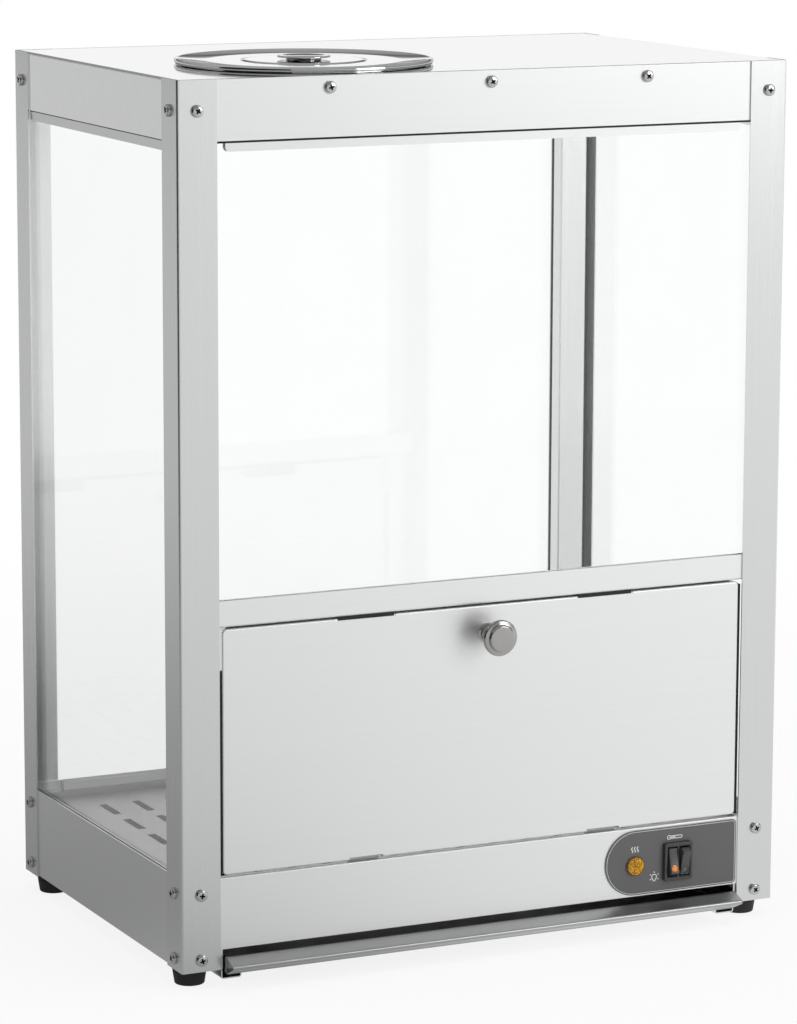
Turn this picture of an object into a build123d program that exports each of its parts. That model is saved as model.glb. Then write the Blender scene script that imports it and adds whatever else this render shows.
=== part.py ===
from build123d import *
from math import atan2, cos, degrees, hypot, radians, sin
import os

# Chip warmer: a glazed sheet-metal cabinet that keeps snack chips warm.
# Millimetres. +X right, +Y back, +Z up. The origin is under the middle of the
# whole outline, on the surface that the rubber feet stand on.

# ---------------------------------------------------------------- cabinet
body_width = 450.0  # over the corner posts
body_depth = 295.0  # over the corner posts
body_height = 590.0  # length of a corner post
post_sheet = 1.0  # stainless sheet of the posts
post_front_flange = 28.0
post_side_flange = 25.5
post_bend = 1.8  # outer radius of the corner bend
panel_sheet = 0.8  # stainless sheet of every panel
panel_bend = 1.6  # outer radius of a panel bend
corner_clear = 2.0  # panel ends stay this far inside the post's bend
fit_gap = 0.3  # clearance between parts that may move or be lifted out

# ---------------------------------------------------------------- feet
foot_height = 12.5
foot_top_radius = 12.0
foot_bottom_radius = 10.2
foot_inset_x = 14.0
foot_inset_y = 21.0
foot_recess_radius = 5.0
foot_recess_depth = 4.5
foot_edge = 0.8

# ---------------------------------------------------------------- canopy and filler
canopy_height = 40.0
lip_height = 14.0  # down-turned lips of the top cover
filler_side_inset = 134.0  # middle of the filler hole, from the left face of the cabinet
filler_front_inset = 100.5  # and from the front
filler_radius = 75.0  # clear opening
collar_depth = 22.0
collar_flange = 7.0
lid_overlap = 12.0  # lid's edge beyond the hole
lid_rim_rise = 4.0  # rim above the top cover
lid_bead_radius = 1.85
lid_slope_width = 15.0
lid_dish_rise = 2.4  # dished disc above the top cover
lid_step_radius = 41.0
lid_step = 0.6
lid_knob_radius = 18.0
lid_neck_radius = 12.0
lid_neck_height = 1.4
lid_knob_thickness = 1.2
lid_knob_edge = 0.4

# ---------------------------------------------------------------- glazing
glass_thickness = 4.0
glass_corner = 2.0
pane_end_clear = 10.0  # pane ends, from the outer faces of the cabinet
clip_drop = 7.0  # clip below the canopy
clip_height = 15.0
clip_corner = 3.0
clip_end_clear_x = 34.5
clip_end_clear_y = 25.5
sill_height = 7.0
sill_drop = 7.7  # sill web below the skirt's top
rail_height = 17.7
rail_bottom = 231.3  # above the posts' lower ends
rail_end_clear = 9.0
glass_head_clear = 2.0  # pane's top edge under the clip's web

# ---------------------------------------------------------------- door
door_side_clear = 30.3  # door edge, from the outer face of the cabinet
door_top_gap = 1.1
door_bottom_gap = 1.6
door_depth = 12.0
door_corner = 3.0
door_bend = 1.2
door_return_left = 2.5  # side return that is left between the side tabs
door_tab_bottom = 8.0
door_tab_top = 29.2
feature_inset = 104.7  # middle of each hinge and catch, from the door's end
catch_notch = 1.3
hinge_notch = 1.8
hinge_rod_radius = 1.5
hinge_running_gap = 0.08
hinge_setback = 5.0  # hinge axis behind the front of the posts
hinge_rise = 2.9  # hinge axis above the door's lower edge
hinge_tab_width = 23.0
hinge_tab_drop = 16.0
hinge_tab_step = 8.0  # joggle below the axis
hinge_side_gap = 1.0
knob_radius = 12.5
knob_face_radius = 9.25
knob_neck_radius = 6.0
knob_length = 22.5
knob_disc_back = 9.0  # back of the disc, from the knob's front face
knob_disc_front = 3.0
knob_rim_width = 1.4
knob_rim_round = 0.9
knob_drop = 19.2  # knob axis below the door's upper edge
catch_width = 41.0
catch_height = 9.0
catch_depth = 10.5
catch_edge = 1.0

# ---------------------------------------------------------------- apron and controls
apron_bottom = 13.5
apron_top = 62.3
apron_flange = 10.0
apron_hem = 8.0
hem_round = 0.75  # edge of the folded hem
plate_side_clear = 29.5  # right end of the plate, from the outer face of the cabinet
plate_length = 103.5
plate_height = 46.0
plate_middle_z = 37.5
plate_thickness = 0.9
plate_corner = 3.0
switch_from_end = 47.5  # from the plate's right end
switch_z = 36.0
bezel_width = 22.0
bezel_height = 27.0
bezel_thickness = 3.6
bezel_corner = 1.5
bezel_edge = 0.65
bezel_step = 0.6  # step down round the rockers
bezel_step_border = 0.7
switch_body_width = 19.6
switch_body_height = 25.0
switch_body_depth = 20.0
rocker_width = 6.4
rocker_divider = 1.4
rocker_side_gap = 0.75
rocker_end_gap = 0.65
rocker_ridge_at = 8.6  # ridges, above and below the pivot
rocker_ridge_out = 5.4  # and in front of it
rocker_dip = 0.7  # hollow of the face between its ridges
rocker_root = 5.0
rocker_root_half = 4.5
rocker_pivot_depth = 3.0
rocker_tilt = 14.0
rocker_pin_radius = 1.0
rocker_pin_length = 0.7
rocker_pocket_depth = 11.5
rocker_lens_radius = 2.4
rocker_lens_drop = 5.1  # below the pivot
rocker_lens_seat = 4.2  # floor of the lens's recess, in front of the pivot
rocker_lens_height = 1.0
rocker_lens_edge = 0.3
rocker_lens_gap = 0.05
indicator_from_end = 80.5  # from the plate's right end
indicator_z = 35.7
indicator_radius = 7.0
indicator_rise = 3.0
indicator_edge = 1.0
indicator_face_radius = 5.2
indicator_shank_radius = 5.5
indicator_shank_length = 24.0
box_depth = 50.0
box_length = 110.4
box_floor_gap = 0.9  # under the floor
element_tail = 6.0  # element's ends inside the box
thermostat_radius = 8.0
thermostat_height = 11.0
terminal_length = 34.0
terminal_depth = 14.0
terminal_height = 16.0
terminal_screw_radius = 2.2
terminal_screw_depth = 6.0
terminal_ways = 3

# ---------------------------------------------------------------- skirts, floor and heater
skirt_height = 63.7
skirt_front_return = 30.0
skirt_flange = 29.2
skirt_lip = 10.0
rear_flange = 12.0
ledge_width = 14.0
ledge_leg = 11.0
ledge_end_clear = 20.0
floor_top = 52.2
floor_sheet = 1.0
floor_side_clear = 9.5
floor_front_clear = 9.5
floor_slot_pitch_x = 25.4
floor_slot_pitch_y = 46.0
floor_slot_length = 30.0
floor_slot_width = 6.0
floor_slot_margin = 30.0  # plain border round the slots
element_radius = 3.3
element_height = 29.5
element_bend = 15.0
element_side_clear = 50.0
element_back = 45.0  # far run, from the back of the cabinet
element_runs = (20.0, 40.0, 78.0)  # near runs, from the front of the cabinet
rail_bar_inset = (105.0, 280.0)  # support bars, from the left face of the cabinet
rail_bar_width = 10.0
rail_bar_sheet = 1.2
gland_side_clear = 75.0  # from the outer face of the cabinet
gland_z = 32.0
gland_radius = 8.0
gland_flange_radius = 11.5
gland_flange = 3.0
gland_reach = 8.0
gland_inside = 10.0
gland_bore = 3.6
gland_tip_radius = 6.0

# ---------------------------------------------------------------- crumb tray
tray_side_clear = 31.0
tray_wall = 12.0
tray_floor_z = -3.2
tray_length = 270.0
tray_nose = 16.0
tray_nose_z = 3.9
tray_front_setback = 2.0  # front wall of the tray, in front of the posts
tray_nose_lift = 0.4
runner_flange = 14.6
runner_bottom = -7.4
runner_lip = 3.9
runner_end_clear = 4.0

# ---------------------------------------------------------------- lamp and wiring
lamp_side_clear = 97.0  # lamp bracket, from the outer face of the cabinet
lamp_bracket_width = 30.0
lamp_bracket_height = 40.0
lamp_bracket_foot = 24.0
lamp_bracket_sheet = 1.2
lamp_drop = 25.0  # lamp axis below the top cover
holder_radius = 14.0
holder_length = 34.0
cap_radius = 10.0
cap_length = 12.0
bulb_radius = 20.0
bulb_length = 66.0
bulb_flare = 0.35  # slope of the glass where it leaves the cap
duct_width = 18.0
duct_depth = 12.0
duct_side_clear = 12.0
duct_back_clear = 9.0
duct_hole_radius = 4.0

# ---------------------------------------------------------------- screws
screw_radius = 2.0
screw_hole_gap = 0.15
screw_length = 8.0
screw_head_radius = 4.1
screw_head_height = 2.6
screw_foot_rise = 8.0  # lowest post screw, above the post's lower end
screw_skirt_drop = 11.2  # middle post screw, below the skirt's top
band_screw_pitch = 117.0
band_screw_drop = 7.7
band_screw_count = 3

# ---------------------------------------------------------------- derived places
half_width = body_width / 2
knob_reach = knob_length - post_sheet  # knob in front of the posts
total_depth = knob_reach + body_depth + gland_reach
front_y = knob_reach - total_depth / 2
rear_y = front_y + body_depth
middle_y = (front_y + rear_y) / 2
base_z = foot_height  # lower end of the posts
top_z = base_z + body_height
canopy_z = top_z - canopy_height
skirt_top_z = base_z + skirt_height
between_returns = half_width - skirt_front_return - fit_gap  # half the width between the skirts' returns

panel_front_y = front_y + post_sheet  # outer face of the front panels
panel_rear_y = rear_y - post_sheet
panel_side_x = half_width - post_sheet
second_front_y = panel_front_y + panel_sheet  # inner face of the front panels
second_rear_y = panel_rear_y - panel_sheet
second_side_x = panel_side_x - panel_sheet

glass_stack = panel_sheet + fit_gap  # from a panel's inner face to the pane
clip_depth = 2 * glass_stack + glass_thickness
glass_front_y = second_front_y + glass_stack
glass_rear_y = second_rear_y - glass_stack
glass_side_x = second_side_x - glass_stack
sill_z = skirt_top_z - sill_drop
glass_top_z = canopy_z - clip_drop + clip_height - panel_sheet - glass_head_clear
rail_z = base_z + rail_bottom
rail_top_z = rail_z + rail_height

door_top_z = rail_z - door_top_gap
apron_top_z = base_z + apron_top
apron_z = base_z + apron_bottom
door_z = apron_top_z + door_bottom_gap
door_height = door_top_z - door_z
door_width = body_width - 2 * door_side_clear
hinge_y = front_y + hinge_setback
hinge_z = door_z + hinge_rise
knob_z = door_top_z - knob_drop
hinge_eye_radius = hinge_setback - post_sheet - 2 * panel_sheet

screw_hole_radius = screw_radius + screw_hole_gap
post_screw_x = half_width - post_front_flange / 2
post_screw_y = (post_side_flange + post_sheet) / 2
post_screw_heights = (
    base_z + screw_foot_rise,
    skirt_top_z - screw_skirt_drop,
    canopy_z + canopy_height / 2,
)
lower_screw_heights = post_screw_heights[:2]
band_screw_z = top_z - band_screw_drop
lid_x = -half_width + filler_side_inset
lid_y = front_y + filler_front_inset
lamp_x = half_width - lamp_side_clear
gland_x = half_width - gland_side_clear
floor_z = base_z + floor_top

os.makedirs("parts", exist_ok=True)


def save(part, name):
    """Name a finished piece and write it to its own file."""
    part.label = name
    export_step(part, f"parts/{name}.step")


def along_y(y):
    """The upright plane across the cabinet at depth y, seen from the front."""
    return Plane.XZ.offset(-y)


def folded(fold_line, plane, length, sheet=panel_sheet, bend=panel_bend):
    """A sheet folded along fold_line, thickened to its left and drawn out to length."""
    with BuildPart() as strip:
        with BuildSketch(plane):
            with BuildLine():
                FilletPolyline(*fold_line, radius=bend)
                offset(amount=sheet, side=Side.LEFT)
            make_face()
        extrude(amount=length)
    return strip.part


def drill_front(y, places, radius=screw_hole_radius):
    """Round holes from front to back through the sheets at y, at places (x, z)."""
    with Locations(*[(x, y, z) for x, z in places]):
        Cylinder(radius, 2 * screw_length, rotation=(90, 0, 0), mode=Mode.SUBTRACT)


def drill_side(x, places, radius=screw_hole_radius):
    """Round holes from side to side through the sheets at x, at places (y, z)."""
    with Locations(*[(x, y, z) for y, z in places]):
        Cylinder(radius, 2 * screw_length, rotation=(0, 90, 0), mode=Mode.SUBTRACT)


def pan_screws(planes, length=screw_length):
    """Pan-head screws, each head seated on its plane and its shank going in behind."""
    with BuildPart() as screws:
        with Locations(*planes):
            Cylinder(screw_head_radius, screw_head_height,
                     align=(Align.CENTER, Align.CENTER, Align.MIN))
            Cylinder(screw_radius, length,
                     align=(Align.CENTER, Align.CENTER, Align.MAX))
    return screws.part


def pane(plane, width, height, middle):
    """A flat glass pane with eased corners, drawn out behind its outer face."""
    with BuildPart() as glass:
        with BuildSketch(plane):
            with Locations(middle):
                RectangleRounded(width, height, glass_corner)
        extrude(amount=-glass_thickness)
    return glass.part


# ================================================================ corner posts
side_screw_places = [(front_y + post_screw_y, z) for z in post_screw_heights]
front_screw_places = [(-post_screw_x, z) for z in post_screw_heights]

with BuildPart() as post_front_left:
    add(folded(
        [(-half_width, front_y + post_side_flange),
         (-half_width, front_y),
         (-half_width + post_front_flange, front_y)],
        Plane.XY.offset(base_z), body_height, post_sheet, post_bend))
    drill_front(front_y, front_screw_places)
    drill_side(-half_width, side_screw_places)

with BuildPart() as post_front_right:
    mirror(post_front_left.part, about=Plane.YZ)

with BuildPart() as post_rear_left:
    mirror(post_front_left.part, about=along_y(middle_y))

with BuildPart() as post_rear_right:
    mirror(post_front_right.part, about=along_y(middle_y))

save(post_front_left.part, "post_front_left")
save(post_front_right.part, "post_front_right")
save(post_rear_left.part, "post_rear_left")
save(post_rear_right.part, "post_rear_right")

# ================================================================ canopy
band_half = second_side_x - fit_gap / 2
band_screw_places = [
    ((i - (band_screw_count - 1) / 2) * band_screw_pitch, band_screw_z)
    for i in range(band_screw_count)
]
corner_screw_places = [(-post_screw_x, post_screw_heights[2]), (post_screw_x, post_screw_heights[2])]
cover_screw_places = [
    (y, post_screw_heights[2])
    for y in (front_y + post_screw_y, rear_y - post_screw_y)
]
lip_half = second_side_x - corner_clear

with BuildPart() as top_cover:
    # the top and both side bands are one sheet, folded down at the sides
    add(folded(
        [(panel_side_x, canopy_z), (panel_side_x, top_z),
         (-panel_side_x, top_z), (-panel_side_x, canopy_z)],
        along_y(second_rear_y - panel_bend), second_rear_y - second_front_y - 2 * panel_bend))
    # front and rear lips, which the bands are screwed to
    for lip_y, inward in ((second_front_y, 1), (second_rear_y, -1)):
        lip_line = [
            (lip_y + inward * lip_height, top_z), (lip_y, top_z), (lip_y, top_z - lip_height)]
        if inward < 0:
            lip_line.reverse()
        add(folded(lip_line, Plane.YZ.offset(-lip_half), 2 * lip_half))
    with Locations((lid_x, lid_y, top_z)):
        Cylinder(filler_radius + panel_bend + fit_gap, 2 * panel_bend, mode=Mode.SUBTRACT)
    drill_side(-panel_side_x, cover_screw_places)
    drill_side(panel_side_x, cover_screw_places)
    drill_front(second_front_y, band_screw_places)
    drill_front(second_rear_y, band_screw_places)
save(top_cover.part, "top_cover")

with BuildPart() as front_band:
    with BuildSketch(along_y(panel_front_y)):
        with Locations((0, canopy_z + canopy_height / 2)):
            Rectangle(2 * band_half, canopy_height)
    extrude(amount=-panel_sheet)
    top_edge = front_band.faces().sort_by(Axis.Y)[0].edges().sort_by(Axis.Z)[-1]
    fillet(top_edge, panel_sheet / 2)
    drill_front(panel_front_y, band_screw_places + corner_screw_places)

with BuildPart() as rear_band:
    mirror(front_band.part, about=along_y(middle_y))

save(front_band.part, "front_band")
save(rear_band.part, "rear_band")

# ================================================================ filler collar and lid
filler_plane = Plane(origin=(lid_x, lid_y, 0), x_dir=(1, 0, 0), z_dir=(0, -1, 0))
filler_axis = Axis((lid_x, lid_y, 0), (0, 0, 1))
collar_top_z = top_z + panel_sheet

with BuildPart() as filler_collar:
    with BuildSketch(filler_plane):
        with BuildLine():
            FilletPolyline((filler_radius + panel_sheet + collar_flange, collar_top_z),
                           (filler_radius, collar_top_z),
                           (filler_radius, collar_top_z - collar_depth), radius=panel_bend)
            offset(amount=panel_sheet, side=Side.LEFT)
        make_face()
    revolve(axis=filler_axis)
save(filler_collar.part, "filler_collar")

lid_rim_z = top_z + lid_rim_rise
lid_dish_z = top_z + lid_dish_rise
lid_edge = filler_radius + lid_overlap - lid_bead_radius
lid_dish_radius = lid_edge - lid_slope_width

with BuildPart() as filler_lid:
    with BuildSketch(filler_plane):
        with BuildLine():
            Polyline((0, lid_dish_z + lid_step),
                     (lid_step_radius, lid_dish_z + lid_step),
                     (lid_step_radius + lid_step, lid_dish_z),
                     (lid_dish_radius, lid_dish_z),
                     (lid_edge, lid_rim_z - lid_bead_radius + panel_sheet / 2))
            offset(amount=panel_sheet, side=Side.RIGHT)
        make_face()
        with Locations((lid_edge, lid_rim_z - lid_bead_radius)):
            Circle(lid_bead_radius)
    revolve(axis=filler_axis)
    with Locations((lid_x, lid_y, lid_dish_z)):
        Cylinder(screw_hole_radius, 4 * panel_sheet, mode=Mode.SUBTRACT)
save(filler_lid.part, "filler_lid")

lid_knob_z = lid_dish_z + lid_step

with BuildPart() as lid_knob:
    with BuildSketch(filler_plane):
        with BuildLine():
            Polyline(
                (0, lid_knob_z), (lid_neck_radius, lid_knob_z),
                (lid_neck_radius, lid_knob_z + lid_neck_height),
                (lid_knob_radius, lid_knob_z + lid_neck_height),
                (lid_knob_radius, lid_knob_z + lid_neck_height + lid_knob_thickness),
                (0, lid_knob_z + lid_neck_height + lid_knob_thickness), close=True)
        make_face()
    revolve(axis=filler_axis)
    fillet(lid_knob.edges().filter_by(GeomType.CIRCLE).group_by(Axis.Z)[-1], lid_knob_edge)
    with Locations((lid_x, lid_y, lid_knob_z)):
        Cylinder(screw_hole_radius, 2 * lid_neck_height, mode=Mode.SUBTRACT)
save(lid_knob.part, "lid_knob")

with BuildPart() as lid_knob_screw:
    add(pan_screws([Plane(origin=(lid_x, lid_y, lid_knob_z - panel_sheet), z_dir=(0, 0, -1))],
                   panel_sheet + lid_neck_height - fit_gap))
save(lid_knob_screw.part, "lid_knob_screw")

# ================================================================ glass and its channels
front_pane_width = body_width - 2 * pane_end_clear
side_pane_width = body_depth - 2 * pane_end_clear
sill_web_z = sill_z + panel_sheet + fit_gap
rail_web_z = rail_z + panel_sheet + fit_gap
front_pane_height = glass_top_z - rail_web_z
tall_pane_height = glass_top_z - sill_web_z
left_plane = Plane(origin=(-glass_side_x, middle_y, 0), x_dir=(0, -1, 0), z_dir=(-1, 0, 0))

with BuildPart() as front_glass:
    add(pane(along_y(glass_front_y), front_pane_width, front_pane_height,
             (0, rail_web_z + front_pane_height / 2)))

with BuildPart() as rear_glass:
    add(pane(along_y(glass_rear_y - glass_thickness), front_pane_width, tall_pane_height,
             (0, sill_web_z + tall_pane_height / 2)))

with BuildPart() as left_glass:
    add(pane(left_plane, side_pane_width, tall_pane_height, (0, sill_web_z + tall_pane_height / 2)))

with BuildPart() as right_glass:
    mirror(left_glass.part, about=Plane.YZ)

save(front_glass.part, "front_glass")
save(rear_glass.part, "rear_glass")
save(left_glass.part, "left_glass")
save(right_glass.part, "right_glass")

clip_z = canopy_z - clip_drop
clip_top_z = clip_z + clip_height
front_clip_half = half_width - clip_end_clear_x
side_clip_length = body_depth - 2 * clip_end_clear_y

with BuildPart() as front_glass_clip:
    add(folded(
        [(second_front_y + clip_depth, clip_z), (second_front_y + clip_depth, clip_top_z),
         (second_front_y, clip_top_z), (second_front_y, clip_z)],
        Plane.YZ.offset(-front_clip_half), 2 * front_clip_half))
    fillet(front_glass_clip.edges().filter_by(Axis.Y).group_by(Axis.Z)[0], clip_corner)

with BuildPart() as rear_glass_clip:
    mirror(front_glass_clip.part, about=along_y(middle_y))

with BuildPart() as left_glass_clip:
    add(folded(
        [(-second_side_x + clip_depth, clip_z), (-second_side_x + clip_depth, clip_top_z),
         (-second_side_x, clip_top_z), (-second_side_x, clip_z)],
        along_y(rear_y - clip_end_clear_y), side_clip_length))
    fillet(left_glass_clip.edges().filter_by(Axis.X).group_by(Axis.Z)[0], clip_corner)

with BuildPart() as right_glass_clip:
    mirror(left_glass_clip.part, about=Plane.YZ)

save(front_glass_clip.part, "front_glass_clip")
save(rear_glass_clip.part, "rear_glass_clip")
save(left_glass_clip.part, "left_glass_clip")
save(right_glass_clip.part, "right_glass_clip")

with BuildPart() as rear_sill:
    add(folded(
        [(second_rear_y - clip_depth, sill_z + sill_height), (second_rear_y - clip_depth, sill_z),
         (second_rear_y, sill_z), (second_rear_y, sill_z + sill_height)],
        Plane.YZ.offset(-between_returns), 2 * between_returns))

with BuildPart() as left_sill:
    add(folded(
        [(-second_side_x, sill_z + sill_height), (-second_side_x, sill_z),
         (-second_side_x + clip_depth, sill_z), (-second_side_x + clip_depth, sill_z + sill_height)],
        along_y(rear_y - pane_end_clear), side_pane_width))

with BuildPart() as right_sill:
    mirror(left_sill.part, about=Plane.YZ)

save(rear_sill.part, "rear_sill")
save(left_sill.part, "left_sill")
save(right_sill.part, "right_sill")

rail_half = half_width - rail_end_clear

with BuildPart() as header_rail:
    add(folded(
        [(panel_front_y, rail_top_z), (panel_front_y, rail_z),
         (second_front_y + clip_depth, rail_z), (second_front_y + clip_depth, rail_top_z)],
        Plane.YZ.offset(-rail_half), 2 * rail_half))
save(header_rail.part, "header_rail")

# ================================================================ door
catch_front_y = second_front_y + fit_gap
pair_x = (-door_width / 2 + feature_inset, door_width / 2 - feature_inset)

with BuildPart() as magnetic_catches:
    for x in pair_x:
        with Locations((x, catch_front_y, rail_z)):
            Box(catch_width, catch_depth, catch_height,
                align=(Align.CENTER, Align.MIN, Align.MAX))
    chamfer(magnetic_catches.edges().filter_by(Axis.X).group_by(Axis.Z)[0], catch_edge)
save(magnetic_catches.part, "magnetic_catches")

door_middle_z = door_z + door_height / 2
tab_top_z = door_z + door_tab_bottom
tab_bottom_z = door_top_z - door_tab_top

with BuildPart() as door_panel:
    # a shallow pan, open at the back
    with BuildSketch(along_y(panel_front_y)):
        with Locations((0, door_middle_z)):
            RectangleRounded(door_width, door_height, door_corner)
    extrude(amount=-door_depth)
    fillet(door_panel.faces().sort_by(Axis.Y)[0].edges(), door_bend)
    offset(amount=-panel_sheet, openings=door_panel.faces().sort_by(Axis.Y)[-1])
    # notches for the catches and for the hinge tabs
    with BuildSketch(along_y(front_y)):
        for x in pair_x:
            with Locations((x, door_top_z)):
                Rectangle(catch_width + 2 * hinge_side_gap, 2 * catch_notch)
            with Locations((x, door_z)):
                Rectangle(hinge_tab_width + 2 * hinge_side_gap, 2 * hinge_notch)
    extrude(amount=-(door_depth + 2 * post_sheet), mode=Mode.SUBTRACT)
    # the side returns are cut back between the tabs
    with BuildSketch(Plane.YZ.offset(-half_width)):
        with Locations((panel_front_y + door_return_left, tab_top_z)):
            Rectangle(door_depth, tab_bottom_z - tab_top_z, align=(Align.MIN, Align.MIN))
    extrude(amount=body_width, mode=Mode.SUBTRACT)
    drill_side(-door_width / 2, [(hinge_y, hinge_z)], hinge_rod_radius + hinge_running_gap)
    drill_side(door_width / 2, [(hinge_y, hinge_z)], hinge_rod_radius + hinge_running_gap)
    drill_front(panel_front_y, [(0, knob_z)])
save(door_panel.part, "door_panel")

with BuildPart() as hinge_rod:
    with BuildSketch(Plane.YZ.offset(-door_width / 2)):
        with Locations((hinge_y, hinge_z)):
            Circle(hinge_rod_radius)
    extrude(amount=door_width)
save(hinge_rod.part, "hinge_rod")

with BuildPart() as hinge_tabs:
    # curled eyes, each on a strip that joggles forward to the back of the apron's hem
    for x in pair_x:
        add(folded(
            [(hinge_y + hinge_eye_radius - panel_sheet, hinge_z),
             (hinge_y + hinge_eye_radius - panel_sheet, hinge_z - hinge_tab_step),
             (hinge_y - hinge_eye_radius, hinge_z - hinge_tab_step),
             (hinge_y - hinge_eye_radius, hinge_z - hinge_tab_drop)],
            Plane.YZ.offset(x - hinge_tab_width / 2), hinge_tab_width))
        with BuildSketch(Plane.YZ.offset(x - hinge_tab_width / 2)):
            with Locations((hinge_y, hinge_z)):
                Circle(hinge_eye_radius)
        extrude(amount=hinge_tab_width)
    with BuildSketch(Plane.YZ.offset(-half_width)):
        with Locations((hinge_y, hinge_z)):
            Circle(hinge_rod_radius + hinge_running_gap)
    extrude(amount=body_width, mode=Mode.SUBTRACT)
save(hinge_tabs.part, "hinge_tabs")

knob_plane = Plane(origin=(0, 0, knob_z), x_dir=(1, 0, 0), z_dir=(0, 0, 1))
knob_axis = Axis((0, 0, knob_z), (0, 1, 0))
knob_front_y = panel_front_y - knob_length

with BuildPart() as door_knob:
    with BuildSketch(knob_plane):
        with BuildLine():
            Polyline(
                (0, panel_front_y), (knob_neck_radius, panel_front_y),
                (knob_neck_radius, knob_front_y + knob_disc_back),
                (knob_radius - knob_disc_front / 2, knob_front_y + knob_disc_back - knob_disc_front),
                (knob_radius, knob_front_y + knob_disc_front + knob_rim_width),
                (knob_radius, knob_front_y + knob_disc_front),
                (knob_radius - knob_disc_front / 2, knob_front_y + knob_disc_front / 2),
                (knob_face_radius, knob_front_y + knob_disc_front / 2),
                (knob_face_radius - knob_disc_front / 2, knob_front_y),
                (0, knob_front_y), close=True)
        make_face()
    revolve(axis=knob_axis)
    fillet([rim for rim in door_knob.edges().filter_by(GeomType.CIRCLE)
            if rim.radius > knob_radius - knob_rim_round / 2], knob_rim_round)
    with Locations((0, panel_front_y, knob_z)):
        Cylinder(screw_hole_radius, 2 * screw_length, rotation=(90, 0, 0), mode=Mode.SUBTRACT)
save(door_knob.part, "door_knob")

with BuildPart() as door_knob_screw:
    add(pan_screws([Plane(origin=(0, second_front_y, knob_z), z_dir=(0, 1, 0))], screw_length))
save(door_knob_screw.part, "door_knob_screw")

# ================================================================ apron and controls
apron_half = half_width - post_sheet - corner_clear - panel_sheet
plate_z = base_z + plate_middle_z
plate_right = half_width - plate_side_clear
plate_left = plate_right - plate_length
switch_x = plate_right - switch_from_end
indicator_x = plate_right - indicator_from_end
switch_mid_z = base_z + switch_z
indicator_mid_z = base_z + indicator_z
plate_front_y = panel_front_y - plate_thickness
middle_screw_places = [(-post_screw_x, lower_screw_heights[1]), (post_screw_x, lower_screw_heights[1])]


def control_cutouts():
    """The switch and indicator holes, for the apron and the plate alike."""
    with Locations((switch_x, switch_mid_z)):
        Rectangle(switch_body_width + fit_gap, switch_body_height + fit_gap, mode=Mode.SUBTRACT)
    with Locations((indicator_x, indicator_mid_z)):
        Circle(indicator_shank_radius + fit_gap / 2, mode=Mode.SUBTRACT)


with BuildPart() as front_apron:
    with BuildSketch(along_y(panel_front_y)):
        with Locations((0, (apron_z + apron_top_z) / 2)):
            Rectangle(2 * apron_half, apron_top_z - apron_z)
        control_cutouts()
    extrude(amount=-panel_sheet)
    # hem along the top, and a flange turned back along the bottom
    with BuildSketch(Plane.YZ.offset(-between_returns)):
        with Locations((second_front_y, apron_top_z)):
            Rectangle(panel_sheet, apron_hem, align=(Align.MIN, Align.MAX))
        with Locations((second_front_y, apron_z)):
            Rectangle(apron_flange, panel_sheet, align=(Align.MIN, Align.MIN))
    extrude(amount=2 * between_returns)
    hem_edges = front_apron.edges().filter_by(Axis.X).group_by(Axis.Z)[-1].group_by(Axis.Y)
    fillet(hem_edges[0] + hem_edges[-1], hem_round)
    drill_front(panel_front_y, middle_screw_places)
save(front_apron.part, "front_apron")

with BuildPart() as control_plate:
    with BuildSketch(along_y(plate_front_y)) as plate_outline:
        with Locations((plate_left + plate_height / 2, plate_z)):
            Circle(plate_height / 2)
            Rectangle(plate_right - plate_left - plate_height / 2, plate_height,
                      align=(Align.MIN, Align.CENTER))
        fillet(plate_outline.vertices().group_by(Axis.X)[-1], plate_corner)
        control_cutouts()
    extrude(amount=-plate_thickness)
save(control_plate.part, "control_plate")

pocket_width = rocker_width + 2 * rocker_side_gap
rocker_pitch = pocket_width + rocker_divider
rocker_reach = hypot(rocker_ridge_out, rocker_ridge_at)
rocker_end_turn = degrees(atan2(rocker_ridge_out, rocker_ridge_at))
pocket_half_height = rocker_reach + rocker_end_gap
pivot_y = plate_front_y - bezel_thickness + rocker_pivot_depth

with BuildPart() as switch_housing:
    with BuildSketch(along_y(plate_front_y)):
        with Locations((switch_x, switch_mid_z)):
            RectangleRounded(bezel_width, bezel_height, bezel_corner)
    extrude(amount=bezel_thickness)
    chamfer(switch_housing.faces().sort_by(Axis.Y)[0].edges(), bezel_edge)
    with BuildSketch(along_y(plate_front_y)):
        with Locations((switch_x, switch_mid_z)):
            Rectangle(switch_body_width, switch_body_height)
    extrude(amount=-switch_body_depth)
    with BuildSketch(along_y(plate_front_y - bezel_thickness)):
        with Locations((switch_x, switch_mid_z)):
            Rectangle(pocket_width + rocker_pitch + 2 * bezel_step_border,
                      2 * (pocket_half_height + bezel_step_border))
    extrude(amount=-bezel_step, mode=Mode.SUBTRACT)
    with BuildSketch(along_y(plate_front_y - bezel_thickness)):
        with Locations((switch_x - rocker_pitch / 2, switch_mid_z),
                       (switch_x + rocker_pitch / 2, switch_mid_z)):
            Rectangle(pocket_width, 2 * pocket_half_height)
    extrude(amount=-rocker_pocket_depth, mode=Mode.SUBTRACT)
    with BuildSketch(Plane.YZ.offset(switch_x - pocket_width - rocker_divider / 2 - rocker_pin_length)):
        with Locations((pivot_y, switch_mid_z)):
            Circle(rocker_pin_radius + hinge_running_gap)
    extrude(amount=2 * (pocket_width + rocker_pin_length) + rocker_divider, mode=Mode.SUBTRACT)
save(switch_housing.part, "switch_housing")


def rocker_plane(x, tilt):
    """The side view of a rocker about its pivot, with x outward and y up along its face."""
    outward = (0, -cos(radians(tilt)), -sin(radians(tilt)))
    return Plane(origin=(x, pivot_y, switch_mid_z), x_dir=outward, z_dir=(-1, 0, 0))


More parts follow.
